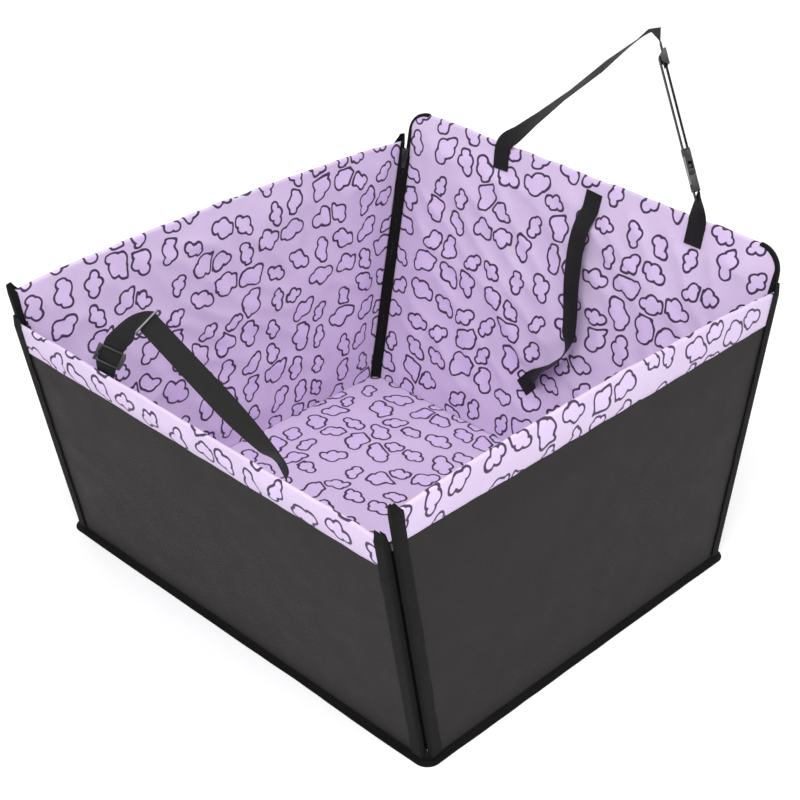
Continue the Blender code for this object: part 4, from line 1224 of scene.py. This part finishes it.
places = [back.place(x, -seat - guide_standoff * off_share, back.top * up_share)
          for x, up_share, off_share, _ in guide_rows]
keys = []
for index, place in enumerate(places):
    way = places[min(index + 1, len(places) - 1)] - places[max(index - 1, 0)]
    keys.append((place, turned(back, way.normalized(), radians(guide_rows[index][3]))))
make_webbing("belt_guide_webbing", keys[:1] + smooth_route(keys[1:-1]) + keys[-1:], "back_wall",
             ["belt_guide_strap"])
tab_stitches("belt_guide_stitches", back, (guide_rows[0][0] + guide_rows[1][0]) / 2,
             back.top * guide_rows[1][1] + 0.001, back.top * guide_rows[0][1] - tab_seam_rise)

start = front.place(-front_rim_x, -seat - front_rim_off, front.top)
apex = front.place(-front_apex_x, -front_apex_off, front.top + front_apex_rise)
front_run = Run(start, apex, turned(front, (apex - start).normalized(), front_apex_twist))
glide_place = front.place(-front_glide_x, -front_glide_off, front.top + front_glide_rise)
lower_ahead = front.out * sin(front_glide_lean) - front.up * cos(front_glide_lean)
lower = Run(glide_place, glide_place + lower_ahead, turned(front, lower_ahead, front_glide_twist))
tab_top = front.top - front_tab_depth
tab_end = tab_top - front_tab_length
keys = [front.key(-front_anchor_x, tab_top)]
keys += [(front_run.place(0, front_run.length * share, 0),
          turned(front, front_run.ahead, radians(twist))) for share, twist in front_twists]
keys.append(lower.key(-glide_pitch * 2))
route = [front.key(-front_anchor_x, tab_end), *smooth_route(keys), lower.key(glide_pitch + glide_bar),
         front.key(-front_glide_x, front.top - front_tab_depth / 2),
         front.key(-front_glide_x, tab_end)]
make_webbing("front_webbing", route, "front_wall", ["front_strap"], front_squareness)
for name, x in (("right", -front_anchor_x), ("left", -front_glide_x)):
    tab_stitches("front_tab_stitches_" + name, front, x, tab_end + tab_seam_rise,
                 tab_top - tab_seam_rise)

for node, name, body, radius in (
        ("headrest_slider", "headrest_adjuster", "headrest_slider", adjuster_edge),
        ("front_slider", "front_adjuster", "front_slider", adjuster_edge),
        ("buckle_socket", "buckle_socket_half", "back_wall", buckle_edge),
        ("buckle_plug", "buckle_plug_half", "buckle_plug", buckle_edge)):
    make_softened(node, name, "buckle_plastic", body, radius)
for name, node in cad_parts.items():
    if name == "front_ring" or name.endswith("_board"):
        for slot in node.material_slots:
            slot.material = materials["plated_steel" if name == "front_ring" else "stiffener_board"]


# Studio

def seen_rays(tree):
    """1 for the rays that show the backdrop: to the camera, off gloss or through glass."""
    rays = add(tree, "ShaderNodeLightPath")
    seen = add(tree, "ShaderNodeMath", {0: rays["Is Camera Ray"], 1: rays["Is Glossy Ray"]},
               operation="MAXIMUM")[0]
    return add(tree, "ShaderNodeMath", {0: seen, 1: rays["Is Transmission Ray"]},
               operation="MAXIMUM")[0]


bpy.ops.object.select_all(action="DESELECT")
bpy.ops.mesh.primitive_plane_add(size=8, location=(0, 0, 0))
floor = bpy.context.object
floor.name = "studio_floor"
paper, tree, shader = start_material("matt_white_backdrop_paper", Roughness=0.9,
                                     Specular_IOR_Level=0.1, Emission_Color=(1, 1, 1, 1))
fibres = add(tree, "ShaderNodeTexNoise", {"Vector": add(tree, "ShaderNodeTexCoord")["Object"],
                                          "Scale": 40, "Detail": 3})[0]
tint = add(tree, "ShaderNodeMix", {"Factor": fibres, "A": linear("#F4F3F5"), "B": linear("#FAF9FB")},
           data_type="RGBA")["Result"]
tree.links.new(tint, shader.inputs["Base Color"])
lifted = add(tree, "ShaderNodeMath", {0: seen_rays(tree), 1: paper_glow}, operation="MULTIPLY")[0]
tree.links.new(lifted, shader.inputs["Emission Strength"])
floor.data.materials.append(paper)

world = bpy.data.worlds.new("studio")
bpy.context.scene.world = world
world.use_nodes = True
tree = world.node_tree
tree.nodes.clear()
level = add(tree, "ShaderNodeMapRange", {"Value": seen_rays(tree), "To Min": sky_light})[0]
glow = add(tree, "ShaderNodeBackground", {"Color": (1, 1, 1, 1), "Strength": level})[0]
add(tree, "ShaderNodeOutputWorld", {"Surface": glow})


def face_target(thing, name, azimuth, elevation, away):
    """Name a lamp or camera and put it where it looks at the seat from these angles in degrees."""
    turn, lift = radians(azimuth), radians(elevation)
    ray = Vector((sin(turn) * cos(lift), -cos(turn) * cos(lift), sin(lift)))
    thing.name = name
    thing.location = target + ray * away
    thing.rotation_euler = ray.to_track_quat("Z", "Y").to_euler()


target = Vector((-0.004, 0.002, 0.206))
for name, azimuth, elevation, away, power in (("key_lamp", 28, 54, 2.6, 35),
                                              ("side_lamp", 95, 40, 2.8, 12)):
    bpy.ops.object.light_add(type="AREA")
    lamp = bpy.context.object
    face_target(lamp, name, azimuth, elevation, away)
    lamp.data.size = lamp_size
    lamp.data.energy = power

bpy.ops.object.camera_add()
camera = bpy.context.object
face_target(camera, "photo_camera", camera_azimuth, camera_elevation, camera_away)
camera.rotation_euler.rotate_axis("Z", radians(camera_roll))
camera.data.lens = camera_lens
camera.data.sensor_width = camera_sensor
bpy.context.scene.camera = camera
bpy.context.scene.view_settings.view_transform = "Standard"
